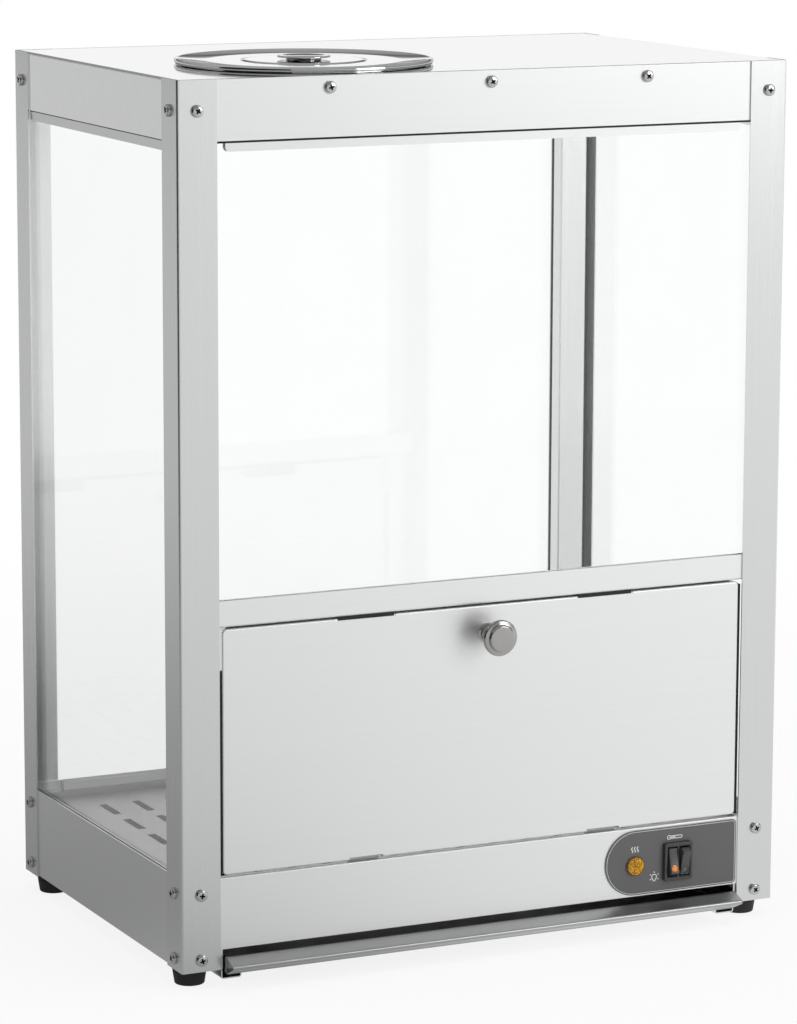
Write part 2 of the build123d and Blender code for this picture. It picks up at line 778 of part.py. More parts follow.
def lens_seat(x, tilt):
    """The floor of the lens's recess in a rocker, facing outward."""
    side = rocker_plane(x, tilt)
    return Plane(origin=side.from_local_coords((rocker_lens_seat, -rocker_lens_drop, 0)),
                 x_dir=(1, 0, 0), z_dir=side.x_dir)


def rocker(x, tilt):
    """A rocker on its pins, pressed in at the bottom for a positive tilt."""
    with BuildPart() as key:
        with BuildSketch(rocker_plane(x, tilt)):
            with BuildLine():
                ThreePointArc((rocker_ridge_out, -rocker_ridge_at),
                              (rocker_ridge_out - rocker_dip, 0),
                              (rocker_ridge_out, rocker_ridge_at))
                CenterArc((0, 0), rocker_reach, 90 - rocker_end_turn, rocker_end_turn)
                Polyline((0, rocker_reach), (-rocker_root, rocker_root_half),
                         (-rocker_root, -rocker_root_half), (0, -rocker_reach))
                CenterArc((0, 0), rocker_reach, -90, rocker_end_turn)
            make_face()
        extrude(amount=rocker_width / 2, both=True)
        with BuildSketch(rocker_plane(x, tilt)):
            Circle(rocker_pin_radius)
        extrude(amount=rocker_width / 2 + rocker_side_gap + rocker_pin_length / 2, both=True)
        with BuildSketch(lens_seat(x, tilt)):
            Circle(rocker_lens_radius + rocker_lens_gap)
        extrude(amount=rocker_ridge_out, mode=Mode.SUBTRACT)
    return key.part


def rocker_lens(x, tilt):
    """The small round lens that sits in a rocker's face."""
    with BuildPart() as lens:
        with BuildSketch(lens_seat(x, tilt)):
            Circle(rocker_lens_radius)
        extrude(amount=rocker_lens_height)
        fillet(lens.edges().sort_by(Axis.Y)[0], rocker_lens_edge)
    return lens.part


for name, side, tilt in (("light_rocker", -1, -rocker_tilt), ("heat_rocker", 1, rocker_tilt)):
    rocker_x = switch_x + side * rocker_pitch / 2
    save(rocker(rocker_x, tilt), name)
    save(rocker_lens(rocker_x, tilt), name + "_lens")

with BuildPart() as indicator_body:
    with BuildSketch(along_y(plate_front_y)):
        with Locations((indicator_x, indicator_mid_z)):
            Circle(indicator_shank_radius)
    extrude(amount=-indicator_shank_length)
save(indicator_body.part, "indicator_body")

indicator_plane = Plane(origin=(indicator_x, 0, indicator_mid_z), x_dir=(1, 0, 0), z_dir=(0, 0, 1))
with BuildPart() as indicator_lens:
    with BuildSketch(indicator_plane):
        with BuildLine():
            Polyline((0, plate_front_y), (indicator_radius, plate_front_y),
                     (indicator_radius, plate_front_y - indicator_edge),
                     (indicator_face_radius, plate_front_y - indicator_rise),
                     (0, plate_front_y - indicator_rise), close=True)
        make_face()
    revolve(axis=Axis((indicator_x, 0, indicator_mid_z), (0, 1, 0)))
save(indicator_lens.part, "indicator_lens")

# ================================================================ control box and what it holds
box_z = apron_z + panel_sheet
box_top_z = floor_z - floor_sheet - box_floor_gap
box_right = half_width - skirt_front_return - 2 * fit_gap
box_left = box_right - box_length
box_back_y = second_front_y + box_depth

with BuildPart() as control_box:
    with BuildSketch(along_y(second_front_y)):
        with Locations(((box_left + box_right) / 2, (box_z + box_top_z) / 2)):
            Rectangle(box_right - box_left, box_top_z - box_z)
    extrude(amount=-box_depth)
    offset(amount=-panel_sheet, openings=control_box.faces().sort_by(Axis.Y)[0])
    drill_side(box_left, [(front_y + run, base_z + element_height) for run in element_runs[:2]],
               element_radius + fit_gap / 2)
save(control_box.part, "control_box")

with BuildPart() as thermostat:
    with Locations((box_right - panel_sheet, box_back_y - box_depth / 2, (box_z + box_top_z) / 2)):
        Cylinder(thermostat_radius, thermostat_height, rotation=(0, -90, 0),
                 align=(Align.CENTER, Align.CENTER, Align.MIN))
    chamfer(thermostat.faces().sort_by(Axis.X)[0].edges(), panel_sheet)
save(thermostat.part, "thermostat")

with BuildPart() as terminal_block:
    with Locations((indicator_x, box_back_y - panel_sheet, box_z + panel_sheet)):
        Box(terminal_length, terminal_depth, terminal_height,
            align=(Align.CENTER, Align.MAX, Align.MIN))
    top_face = terminal_block.faces().sort_by(Axis.Z)[-1]
    with Locations(top_face):
        with GridLocations(terminal_length / terminal_ways, 0, terminal_ways, 1):
            Hole(terminal_screw_radius, depth=terminal_screw_depth)
save(terminal_block.part, "terminal_block")

# ================================================================ skirts, floor and heater
lip_x = half_width - skirt_flange
skirt_screw_side = [(front_y + post_screw_y, z) for z in lower_screw_heights]
skirt_screw_side += [(rear_y - post_screw_y, z) for z in lower_screw_heights]
foot_places = [
    (side * (half_width - foot_inset_x), y)
    for side in (-1, 1)
    for y in (front_y + foot_inset_y, rear_y - foot_inset_y)
]

with BuildPart() as left_skirt:
    # side wall and bottom flange, the flange turned up along its inner edge
    add(folded(
        [(-panel_side_x, skirt_top_z), (-panel_side_x, base_z),
         (-lip_x, base_z), (-lip_x, base_z + skirt_lip)],
        along_y(second_rear_y - panel_bend), second_rear_y - second_front_y - 2 * panel_bend))
    # front and rear returns, the front one as high as the apron
    add(folded(
        [(-panel_side_x, second_front_y + skirt_lip), (-panel_side_x, second_front_y),
         (-half_width + skirt_front_return, second_front_y)],
        Plane.XY.offset(base_z), apron_top))
    add(folded(
        [(-half_width + skirt_front_return, second_rear_y), (-panel_side_x, second_rear_y),
         (-panel_side_x, second_rear_y - skirt_lip)],
        Plane.XY.offset(base_z), skirt_height))
    drill_side(-panel_side_x, skirt_screw_side)
    drill_front(second_front_y, [(-post_screw_x, z) for z in lower_screw_heights])
    drill_front(second_rear_y, [(-post_screw_x, z) for z in lower_screw_heights])
    with Locations(*[(x, y, base_z) for x, y in foot_places if x < 0]):
        Cylinder(screw_hole_radius, 4 * panel_sheet, mode=Mode.SUBTRACT)

with BuildPart() as right_skirt:
    mirror(left_skirt.part, about=Plane.YZ)

save(left_skirt.part, "left_skirt")
save(right_skirt.part, "right_skirt")

with BuildPart() as rear_skirt:
    with BuildSketch(along_y(panel_rear_y)):
        with Locations((0, base_z + skirt_height / 2)):
            Rectangle(2 * apron_half, skirt_height)
        with Locations((gland_x, base_z + gland_z)):
            Circle(gland_radius + screw_hole_gap, mode=Mode.SUBTRACT)
    extrude(amount=panel_sheet)
    with BuildSketch(Plane.YZ.offset(-between_returns)):
        with Locations((second_rear_y, base_z)):
            Rectangle(rear_flange, panel_sheet, align=(Align.MAX, Align.MIN))
    extrude(amount=2 * between_returns)
    drill_front(panel_rear_y,
                [(x, z) for x in (-post_screw_x, post_screw_x) for z in lower_screw_heights])
save(rear_skirt.part, "rear_skirt")

ledge_z = floor_z - floor_sheet
with BuildPart() as left_ledge:
    add(folded(
        [(-second_side_x + ledge_width, ledge_z), (-second_side_x, ledge_z),
         (-second_side_x, ledge_z - ledge_leg)],
        along_y(rear_y - ledge_end_clear), body_depth - 2 * ledge_end_clear))
with BuildPart() as floor_ledges:
    add(left_ledge.part)
    mirror(left_ledge.part, about=Plane.YZ)
save(floor_ledges.part, "floor_ledges")

duct_x = half_width - duct_side_clear - duct_width / 2
duct_back_y = rear_y - duct_back_clear
floor_width = body_width - 2 * floor_side_clear
floor_depth = body_depth - 2 * floor_front_clear
slots_across = int((floor_width - 2 * floor_slot_margin) / floor_slot_pitch_x) + 1
slots_deep = int((floor_depth - 2 * floor_slot_margin) / floor_slot_pitch_y) + 1

with BuildPart() as floor_grille:
    with BuildSketch(Plane.XY.offset(ledge_z)):
        with Locations((0, middle_y)):
            Rectangle(floor_width, floor_depth)
            with GridLocations(floor_slot_pitch_x, floor_slot_pitch_y, slots_across, slots_deep):
                Rectangle(floor_slot_width, floor_slot_length, mode=Mode.SUBTRACT)
        with Locations((duct_x, duct_back_y - duct_depth / 2)):
            Circle(duct_hole_radius, mode=Mode.SUBTRACT)
    extrude(amount=floor_sheet)
save(floor_grille.part, "floor_grille")

element_z = base_z + element_height
near_y, return_y, inner_y = [front_y + run for run in element_runs]
far_y = rear_y - element_back
element_end_x = box_left + element_tail
rail_bar_x = [-half_width + inset for inset in rail_bar_inset]
element_return_x = rail_bar_x[0] - rail_bar_width
element_reach = half_width - element_side_clear

with BuildPart() as heating_element:
    with BuildLine():
        FilletPolyline(
            (element_end_x, near_y, element_z), (-element_reach, near_y, element_z),
            (-element_reach, far_y, element_z), (element_reach, far_y, element_z),
            (element_reach, inner_y, element_z), (element_return_x, inner_y, element_z),
            (element_return_x, return_y, element_z), (element_end_x, return_y, element_z),
            radius=element_bend)
    with BuildSketch(Plane(origin=(element_end_x, near_y, element_z), x_dir=(0, 1, 0),
                           z_dir=(-1, 0, 0))):
        Circle(element_radius)
    sweep()
save(heating_element.part, "heating_element")

bar_z = box_z
bar_height = element_z - element_radius - bar_z
with BuildPart() as element_rails:
    for x in rail_bar_x:
        add(folded(
            [(x, bar_z + bar_height), (x - rail_bar_width, bar_z + bar_height),
             (x - rail_bar_width, bar_z)],
            along_y(second_rear_y), second_rear_y - second_front_y, rail_bar_sheet, 2 * rail_bar_sheet))
save(element_rails.part, "element_rails")

gland_plane = Plane(origin=(gland_x, 0, base_z + gland_z), x_dir=(1, 0, 0), z_dir=(0, 0, 1))
with BuildPart() as cord_gland:
    with BuildSketch(gland_plane):
        with BuildLine():
            Polyline(
                (gland_bore, panel_rear_y + gland_reach + post_sheet),
                (gland_tip_radius, panel_rear_y + gland_reach + post_sheet),
                (gland_radius, panel_rear_y + gland_flange),
                (gland_flange_radius, panel_rear_y + gland_flange),
                (gland_flange_radius, panel_rear_y), (gland_radius, panel_rear_y),
                (gland_radius, panel_rear_y - gland_inside), (gland_bore, panel_rear_y - gland_inside),
                close=True)
        make_face()
    revolve(axis=Axis((gland_x, 0, base_z + gland_z), (0, 1, 0)))
save(cord_gland.part, "cord_gland")

# ================================================================ crumb tray
tray_x = half_width - tray_side_clear
tray_z = base_z + tray_floor_z
tray_top_z = tray_z + tray_wall
tray_front_y = front_y - tray_front_setback
tray_nose_y = front_y - tray_nose
nose_z = base_z + tray_nose_z

with BuildPart() as crumb_tray:
    with BuildSketch(Plane.XY.offset(tray_z)):
        with Locations((0, tray_front_y)):
            Rectangle(2 * tray_x, tray_length, align=(Align.CENTER, Align.MIN))
    extrude(amount=tray_wall)
    fillet(crumb_tray.edges().filter_by(Axis.Y).group_by(Axis.Z)[0], panel_bend)
    offset(amount=-panel_sheet, openings=crumb_tray.faces().sort_by(Axis.Z)[-1])
    # folded nose that the tray is pulled by, closed at both ends
    add(folded([(tray_front_y, tray_top_z), (tray_nose_y, nose_z),
                (tray_front_y, tray_z + tray_nose_lift)],
               Plane.YZ.offset(-tray_x), 2 * tray_x))
    for end_x in (-tray_x, tray_x - panel_sheet):
        with BuildSketch(Plane.YZ.offset(end_x)):
            with BuildLine():
                Polyline((tray_front_y, tray_top_z), (tray_nose_y + panel_bend, nose_z),
                         (tray_front_y, tray_z + tray_nose_lift), close=True)
            make_face()
        extrude(amount=panel_sheet)
save(crumb_tray.part, "crumb_tray")

runner_x = lip_x
runner_z = base_z + runner_bottom
with BuildPart() as left_runner:
    add(folded(
        [(-runner_x, base_z + skirt_lip), (-runner_x, runner_z),
         (-runner_x + runner_flange, runner_z), (-runner_x + runner_flange, runner_z + runner_lip)],
        along_y(rear_y - runner_end_clear),
        rear_y - runner_end_clear - second_front_y - panel_sheet))
with BuildPart() as right_runner:
    mirror(left_runner.part, about=Plane.YZ)
save(left_runner.part, "left_runner")
save(right_runner.part, "right_runner")

# ================================================================ lamp and wiring duct
lamp_z = top_z - panel_sheet - lamp_drop
ceiling_z = top_z - panel_sheet
with BuildPart() as lamp_bracket:
    with BuildSketch(along_y(middle_y + lamp_bracket_width / 2)):
        with BuildLine():
            FilletPolyline((lamp_x + lamp_bracket_foot, ceiling_z), (lamp_x, ceiling_z),
                           (lamp_x, ceiling_z - lamp_bracket_height), radius=2 * lamp_bracket_sheet)
            offset(amount=lamp_bracket_sheet, side=Side.LEFT)
        make_face()
    extrude(amount=lamp_bracket_width)
save(lamp_bracket.part, "lamp_bracket")

lamp_plane = Plane(origin=(0, middle_y, lamp_z), x_dir=(1, 0, 0), z_dir=(0, -1, 0))
lamp_axis = Axis((0, middle_y, lamp_z), (1, 0, 0))
holder_x = lamp_x - holder_length

with BuildPart() as lamp_holder:
    with BuildSketch(lamp_plane):
        with BuildLine():
            Polyline((lamp_x, 0), (lamp_x, holder_radius), (holder_x, holder_radius),
                     (holder_x, cap_radius + fit_gap), (holder_x + cap_length, cap_radius + fit_gap),
                     (holder_x + cap_length, 0), close=True)
        make_face()
    revolve(axis=lamp_axis)
save(lamp_holder.part, "lamp_holder")

bulb_x = holder_x - bulb_length + cap_length
with BuildPart() as lamp_bulb:
    with BuildSketch(lamp_plane):
        with BuildLine():
            Polyline((bulb_x, 0), (holder_x + cap_length, 0), (holder_x + cap_length, cap_radius),
                     (holder_x, cap_radius))
            Spline((holder_x, cap_radius), (bulb_x + bulb_radius, bulb_radius), (bulb_x, 0),
                   tangents=((-1, bulb_flare), (0, -1)))
        make_face()
    revolve(axis=lamp_axis)
save(lamp_bulb.part, "lamp_bulb")

with BuildPart() as wire_duct:
    add(folded(
        [(duct_x + duct_width / 2, duct_back_y), (duct_x - duct_width / 2, duct_back_y),
         (duct_x - duct_width / 2, duct_back_y - duct_depth),
         (duct_x + duct_width / 2, duct_back_y - duct_depth)],
        Plane.XY.offset(floor_z), ceiling_z - floor_z))
save(wire_duct.part, "wire_duct")

# ================================================================ feet and screws
with BuildPart() as feet:
    for x, y in foot_places:
        with Locations((x, y, 0)):
            Cone(foot_bottom_radius, foot_top_radius, foot_height,
                 align=(Align.CENTER, Align.CENTER, Align.MIN))
            Cylinder(foot_recess_radius, foot_recess_depth,
                     align=(Align.CENTER, Align.CENTER, Align.MIN), mode=Mode.SUBTRACT)
        with Locations((x, y, foot_recess_depth)):
            Cylinder(screw_hole_radius, foot_height,
                     align=(Align.CENTER, Align.CENTER, Align.MIN), mode=Mode.SUBTRACT)
    fillet(feet.edges().filter_by(GeomType.CIRCLE).group_by(Axis.Z)[0], foot_edge)
save(feet.part, "feet")

with BuildPart() as foot_screws:
    add(pan_screws([Plane(origin=(x, y, foot_recess_depth), z_dir=(0, 0, -1)) for x, y in foot_places],
                   foot_height - foot_recess_depth + panel_sheet + fit_gap))
save(foot_screws.part, "foot_screws")

post_screw_planes = []
for side in (-1, 1):
    for z in post_screw_heights:
        post_screw_planes += [
            Plane(origin=(side * post_screw_x, front_y, z), z_dir=(0, -1, 0)),
            Plane(origin=(side * post_screw_x, rear_y, z), z_dir=(0, 1, 0)),
            Plane(origin=(side * half_width, front_y + post_screw_y, z), z_dir=(side, 0, 0)),
            Plane(origin=(side * half_width, rear_y - post_screw_y, z), z_dir=(side, 0, 0)),
        ]
with BuildPart() as post_screws:
    add(pan_screws(post_screw_planes))
save(post_screws.part, "post_screws")

band_screw_planes = []
for x, z in band_screw_places:
    band_screw_planes += [
        Plane(origin=(x, panel_front_y, z), z_dir=(0, -1, 0)),
        Plane(origin=(x, panel_rear_y, z), z_dir=(0, 1, 0)),
    ]
with BuildPart() as band_screws:
    add(pan_screws(band_screw_planes, screw_length / 2))
save(band_screws.part, "band_screws")
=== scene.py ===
# %% [markdown]
# # A chip warmer in stainless steel and glass
#
# The imported CAD model is the frame of this scene: a sheet-metal cabinet with four panes, a
# drop-down door, a crumb tray, a lift-off filler lid and a twin rocker switch. Every piece
# made here is placed from the boxes of the CAD nodes, in metres, so nothing has to be fitted
# by eye.

# %% Load the imported model
import math

import bpy
from mathutils import Matrix, Vector


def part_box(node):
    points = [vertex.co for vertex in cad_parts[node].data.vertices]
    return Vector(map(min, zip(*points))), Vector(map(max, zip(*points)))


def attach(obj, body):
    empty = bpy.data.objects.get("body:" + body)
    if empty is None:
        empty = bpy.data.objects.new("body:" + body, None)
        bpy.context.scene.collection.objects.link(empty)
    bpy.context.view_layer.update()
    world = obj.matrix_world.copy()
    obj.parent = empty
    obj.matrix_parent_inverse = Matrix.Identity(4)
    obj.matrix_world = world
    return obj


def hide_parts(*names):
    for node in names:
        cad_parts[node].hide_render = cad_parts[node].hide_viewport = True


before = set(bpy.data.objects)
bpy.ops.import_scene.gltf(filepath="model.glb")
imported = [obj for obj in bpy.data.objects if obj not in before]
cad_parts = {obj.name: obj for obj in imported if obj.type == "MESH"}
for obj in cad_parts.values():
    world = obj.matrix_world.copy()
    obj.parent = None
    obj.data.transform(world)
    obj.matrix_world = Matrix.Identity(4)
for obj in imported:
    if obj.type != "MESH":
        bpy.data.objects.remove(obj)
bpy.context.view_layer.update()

# %% [markdown]
# ## The camera
#
# A camera fitted to seven corners of the cabinet gives its place, its angles and its focal
# length in pixels of a frame 797 wide and 1024 high. The long side of a portrait frame takes
# the sensor's width, so the lens in millimetres follows from the pixels on that side.

# %% Camera
MM = 0.001
FRAME_HEIGHT_PX = 1024
SENSOR_MM = 36.0
FOCAL_PX = 4209.4
CAMERA_PLACE = Vector((-1.2524, -2.62265, 0.8144))
AZIMUTH, ELEVATION, ROLL = (math.radians(a) for a in (25.52, 10.36, 0.18))

forward = Vector((math.sin(AZIMUTH) * math.cos(ELEVATION),
                  math.cos(AZIMUTH) * math.cos(ELEVATION), -math.sin(ELEVATION)))
level_right = Vector((math.cos(AZIMUTH), -math.sin(AZIMUTH), 0))
level_up = level_right.cross(forward)
right = level_right * math.cos(ROLL) + level_up * math.sin(ROLL)
up = level_up * math.cos(ROLL) - level_right * math.sin(ROLL)

bpy.ops.object.select_all(action="DESELECT")
bpy.ops.object.camera_add()
camera = bpy.context.object
camera.data.sensor_width = SENSOR_MM
camera.data.lens = FOCAL_PX * SENSOR_MM / FRAME_HEIGHT_PX
turn = Matrix((right, up, -forward)).transposed()
camera.matrix_world = Matrix.Translation(CAMERA_PLACE) @ turn.to_4x4()
bpy.context.scene.camera = camera
print("lens", round(camera.data.lens, 1), "mm")

# %% [markdown]
# ## Helpers for materials
#
# Colours are written as sRGB hex, as a paint program shows them, and one function turns them
# to the linear values that the shader works with. A second one adds a node, sets what it is
# given and links its inputs, so that each material below reads as a short list of nodes. The
# smaller ones start a material, link nodes to its shader, put it on CAD nodes that keep their
# shape, and tell a mirrored ray from the others.

# %% Colour and node helpers
def linear(hex_colour):
    """Linear RGBA of an sRGB colour such as '#c8c8c8'."""
    channels = [int(hex_colour[i:i + 2], 16) / 255 for i in (1, 3, 5)]
    return [c / 12.92 if c <= 0.04045 else ((c + 0.055) / 1.055) ** 2.4 for c in channels] + [1]


def add_node(tree, kind, inputs=None, **settings):
    """Adds a node. An input given as a tuple (node, output) is a link, and any other a value."""
    node = tree.nodes.new("ShaderNode" + kind)
    for name, value in settings.items():
        setattr(node, name, value)
    for name, value in (inputs or {}).items():
        if isinstance(value, tuple) and isinstance(value[0], bpy.types.Node):
            tree.links.new(value[0].outputs[value[1]], node.inputs[name])
        else:
            node.inputs[name].default_value = value
    return node


def new_material(name, **shader_inputs):
    """A material with its principled shader, whose constants are set by name."""
    material = bpy.data.materials.new(name)
    material.use_nodes = True
    shader = material.node_tree.nodes["Principled BSDF"]
    for socket, value in shader_inputs.items():
        shader.inputs[socket.replace("_", " ")].default_value = value
    return material, material.node_tree, shader


def dress(material, *nodes):
    """Gives CAD nodes that keep their shape a better material."""
    for name in nodes:
        for material_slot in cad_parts[name].material_slots:
            material_slot.material = material


def wire(tree, shader, **sources):
    """Links a (node, output) to each shader input that is named."""
    for socket, (node, output) in sources.items():
        tree.links.new(node.outputs[output], shader.inputs[socket.replace("_", " ")])


def mirror_ray(tree, path):
    """1 for a ray that metal or a gloss reflects. Glass marks the rays it lets through too."""
    return add_node(tree, "Math", {0: (path, "Is Glossy Ray"), 1: (path, "Is Transmission Ray")},
                    operation="SUBTRACT", use_clamp=True)


print("helpers ready")

# %% [markdown]
# ## Brushed stainless sheet
#
# 304 stainless with a fine brushed finish. The belt leaves scratches about 0.2 mm wide and
# several centimetres long, all in one direction. From where the photograph was taken they melt
# into a soft sheen, so they are drawn 0.5 mm wide and change the roughness and the tint only a
# little. A much larger and softer pattern stands for the unevenness of thin sheet, which makes
# its reflections wander. The scratches run along the length of each piece, so there is one
# material for each direction. A brighter copy, which is painted light, lifts the door, the apron
# and the header rail, and a darker one is for the heated floor.

# %% Brushed stainless
GRAIN_WIDTH = 0.5 * MM
GRAIN_LENGTH = 140 * MM
SHEET_WAVE = 150 * MM
SCRATCH_RANGE = (0.3, 0.7)
SMOOTHER, ROUGHER = 0.01, 0.015
SCRATCH_HEIGHT = 0.0005


def brushed_steel(name, along, colours, roughness):
    """Brushed sheet whose scratches run along one axis of the object."""
    material, tree, shader = new_material(name, Metallic=1.0)
    place = add_node(tree, "TexCoord")
    stretch = [1 / GRAIN_WIDTH] * 3
    stretch["XYZ".index(along)] = 1 / GRAIN_LENGTH
    lengthened = add_node(tree, "Mapping", {"Vector": (place, "Object"), "Scale": stretch})
    scratches = add_node(tree, "TexNoise", {"Vector": (lengthened, "Vector"), "Scale": 1.0,
                                            "Detail": 2.0, "Roughness": 0.5})
    waves = add_node(tree, "TexNoise", {"Vector": (place, "Object"), "Scale": 1 / SHEET_WAVE,
                                        "Detail": 1.0})
    rough = add_node(tree, "MapRange", {"Value": (scratches, "Fac"),
                                        "From Min": SCRATCH_RANGE[0], "From Max": SCRATCH_RANGE[1],
                                        "To Min": roughness - SMOOTHER,
                                        "To Max": roughness + ROUGHER})
    tint = add_node(tree, "Mix", {"Factor": (scratches, "Fac"), "A": linear(colours[0]),
                                  "B": linear(colours[1])}, data_type="RGBA")
    height = add_node(tree, "Math", {0: (scratches, "Fac"), 1: SCRATCH_HEIGHT},
                      operation="MULTIPLY")
    total = add_node(tree, "Math", {0: (waves, "Fac"), 1: (height, "Value")}, operation="ADD")
    bump = add_node(tree, "Bump", {"Height": (total, "Value"), "Strength": 0.6,
                                   "Distance": 0.6 * MM})
    wire(tree, shader, Base_Color=(tint, "Result"), Roughness=(rough, "Result"),
         Normal=(bump, "Normal"))
    return material


SHEET_COLOURS = ("#e0e1e1", "#e6e7e7")
steel_upright = brushed_steel("brushed_stainless_upright", "Z", ("#dbdcdc", "#e1e2e2"), 0.26)
steel_across = brushed_steel("brushed_stainless_across", "X", SHEET_COLOURS, 0.42)
steel_deep = brushed_steel("brushed_stainless_deep", "Y", SHEET_COLOURS, 0.30)

dress(steel_upright, "post_front_left", "post_front_right", "post_rear_left", "post_rear_right")
# Painted light: a brighter copy of the across-brushed steel, lifting the door, the apron and the
# header rail.
steel_panel_painted_light = brushed_steel("brushed_stainless_panel_painted_light", "X", ("#f0f1f1", "#f6f7f7"), 0.42)
dress(steel_panel_painted_light, "door_panel", "front_apron", "header_rail")
dress(steel_across, "front_band", "rear_band", "rear_skirt", "front_glass_clip",
      "rear_glass_clip", "rear_sill", "hinge_tabs", "lamp_bracket")
dress(brushed_steel("heat_tinted_stainless", "X", ("#929190", "#9d9c9b"), 0.38), "floor_grille")
dress(steel_deep, "left_skirt", "right_skirt", "left_glass_clip", "right_glass_clip",
      "left_sill", "right_sill", "left_runner", "right_runner", "floor_ledges")
materials = [n.material_slots[0].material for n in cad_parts.values() if n.material_slots]
print("brushed steel on", sum(m.name.startswith("brushed") for m in materials), "nodes")

# %% [markdown]
# The crumb tray is the same sheet, but it is handled and wiped, so its streaks are stronger.
# Behind the nose its pan is darker: painted shade, standing for the shadow in the gap above the
# tray. The change follows the depth, in the tray's own coordinates, so that it stays in place as
# the tray slides.

# %% Crumb tray's steel
tray_steel = brushed_steel("wiped_tray_steel_painted_shade", "X", ("#a6a7a7", "#c2c3c3"), 0.30)
tree = tray_steel.node_tree
shader = tree.nodes["Principled BSDF"]
old_tint = shader.inputs["Base Color"].links[0].from_node
place = add_node(tree, "TexCoord")
parts = add_node(tree, "SeparateXYZ", {"Vector": (place, "Object")})
nose_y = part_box("front_apron")[0].y
# Painted shade: behind the nose the tray's steel turns dark, for the shadow in the gap above the
# tray.
SHADE_FROM, SHADE_TO = -2 * MM, 3 * MM
tray_painted_shade = add_node(tree, "MapRange", {"Value": (parts, "Y"), "From Min": nose_y + SHADE_FROM,
                                      "From Max": nose_y + SHADE_TO})
tint = add_node(tree, "Mix", {"Factor": (tray_painted_shade, "Result"), "A": (old_tint, "Result"),
                              "B": linear("#57534f")}, data_type="RGBA")
wire(tree, shader, Base_Color=(tint, "Result"))
dress(tray_steel, "crumb_tray")
print("tray steel, browned behind y", round(nose_y, 4))

# %% [markdown]
# ## Polished stainless
#
# The top cover, the filler's collar and its lid are polished nearly to a mirror. A bright
# polish still has a faint orange peel, so its height varies by microns over a few
# millimetres, and its roughness is low but not zero.

# %% Polished stainless
PEEL_SIZE = 6 * MM
steel_polished, tree, shader = new_material("polished_stainless", Metallic=1.0)
place = add_node(tree, "TexCoord")
peel = add_node(tree, "TexNoise", {"Vector": (place, "Object"), "Scale": 1 / PEEL_SIZE,
                                   "Detail": 2.0})
rough = add_node(tree, "MapRange", {"Value": (peel, "Fac"), "To Min": 0.05, "To Max": 0.09})
tint = add_node(tree, "Mix", {"Factor": (peel, "Fac"), "A": linear("#e6e7e8"),
                              "B": linear("#ededee")}, data_type="RGBA")
bump = add_node(tree, "Bump", {"Height": (peel, "Fac"), "Strength": 0.05, "Distance": 0.05 * MM})
wire(tree, shader, Base_Color=(tint, "Result"), Roughness=(rough, "Result"),
     Normal=(bump, "Normal"))
dress(steel_polished, "top_cover", "filler_collar")
print("polished steel on the top cover and the collar")

# %% [markdown]
# ## The other finishes
#
# Each of these starts from the typical values of what it is. A moulded plastic or a rubber
# has an IOR near 1.5 and gets a fine grain from its mould. The grain is made by one function,
# which takes its size in millimetres and lets the colour and the roughness vary by a little.

# %% Grained finishes
ROUGH_SPREAD = 0.06
GRAIN_DEPTH = 0.05 * MM


def grained(name, colours, roughness, grain_mm, depth=0.3, **shader_inputs):
    """A finish with a fine even grain, for plastics, rubber, paint and cast or coated metal."""
    material, tree, shader = new_material(name, **shader_inputs)
    place = add_node(tree, "TexCoord")
    grain = add_node(tree, "TexNoise", {"Vector": (place, "Object"),
                                        "Scale": 1 / (grain_mm * MM), "Detail": 3.0})
    tint = add_node(tree, "Mix", {"Factor": (grain, "Fac"), "A": linear(colours[0]),
                                  "B": linear(colours[1])}, data_type="RGBA")
    rough = add_node(tree, "MapRange", {"Value": (grain, "Fac"),
                                        "To Min": roughness - ROUGH_SPREAD,
                                        "To Max": roughness + ROUGH_SPREAD})
    bump = add_node(tree, "Bump", {"Height": (grain, "Fac"), "Strength": depth,
                                   "Distance": GRAIN_DEPTH})
    wire(tree, shader, Base_Color=(tint, "Result"), Roughness=(rough, "Result"),
         Normal=(bump, "Normal"))
    return material


black_rubber_and_painted_shade = grained("black_rubber_and_painted_shade", ("#111111", "#1c1c1c"), 0.62, 0.8)
black_nylon = grained("black_nylon", ("#101010", "#191919"), 0.42, 0.6)
switch_plastic = grained("black_switch_plastic", ("#222223", "#2b2b2c"), 0.38, 0.5, depth=0.15,
                         Specular_IOR_Level=0.9)
rocker_plastic = grained("black_rocker_plastic", ("#333334", "#3e3e3f"), 0.36, 0.5, depth=0.15,
                         Specular_IOR_Level=0.9)
plate_paint = grained("dark_grey_satin_paint", ("#606061", "#69696a"), 0.42, 0.7)
white_nylon = grained("white_nylon", ("#d2d2cd", "#dcdcd8"), 0.45, 0.6)
catch_plastic = grained("black_catch_plastic", ("#0e0e0e", "#161616"), 0.45, 0.6)
white_ceramic = grained("glazed_white_ceramic", ("#e6e3dc", "#efece6"), 0.18, 4.0, depth=0.05)
zinc_sheet = grained("zinc_coated_sheet", ("#9ea2a4", "#b4b8ba"), 0.38, 9.0, Metallic=1.0)
element_sheath = grained("heat_darkened_sheath", ("#6a625b", "#857c74"), 0.42, 3.0, Metallic=1.0)
rod_steel = grained("drawn_steel_rod", ("#b4b4b4", "#c2c2c2"), 0.25, 1.0, Metallic=1.0)
screw_plating = grained("bright_nickel_plating", ("#bdbdbd", "#cbcbcb"), 0.12, 0.8, depth=0.1,
                        Metallic=1.0)
# Painted shade: near-black for the shadow inside the screws' cross recesses.
recess_shadow = grained("painted_shade_recess", ("#060606", "#0e0e0e"), 0.7, 0.5)
satin_nickel = grained("satin_nickel", ("#a8a7a5", "#b6b5b3"), 0.15, 0.7, depth=0.1, Metallic=1.0)
frosted_bulb = grained("frosted_lamp_glass", ("#f1efe9", "#faf8f4"), 0.35, 1.0,
                       Transmission_Weight=0.5, IOR=1.5)

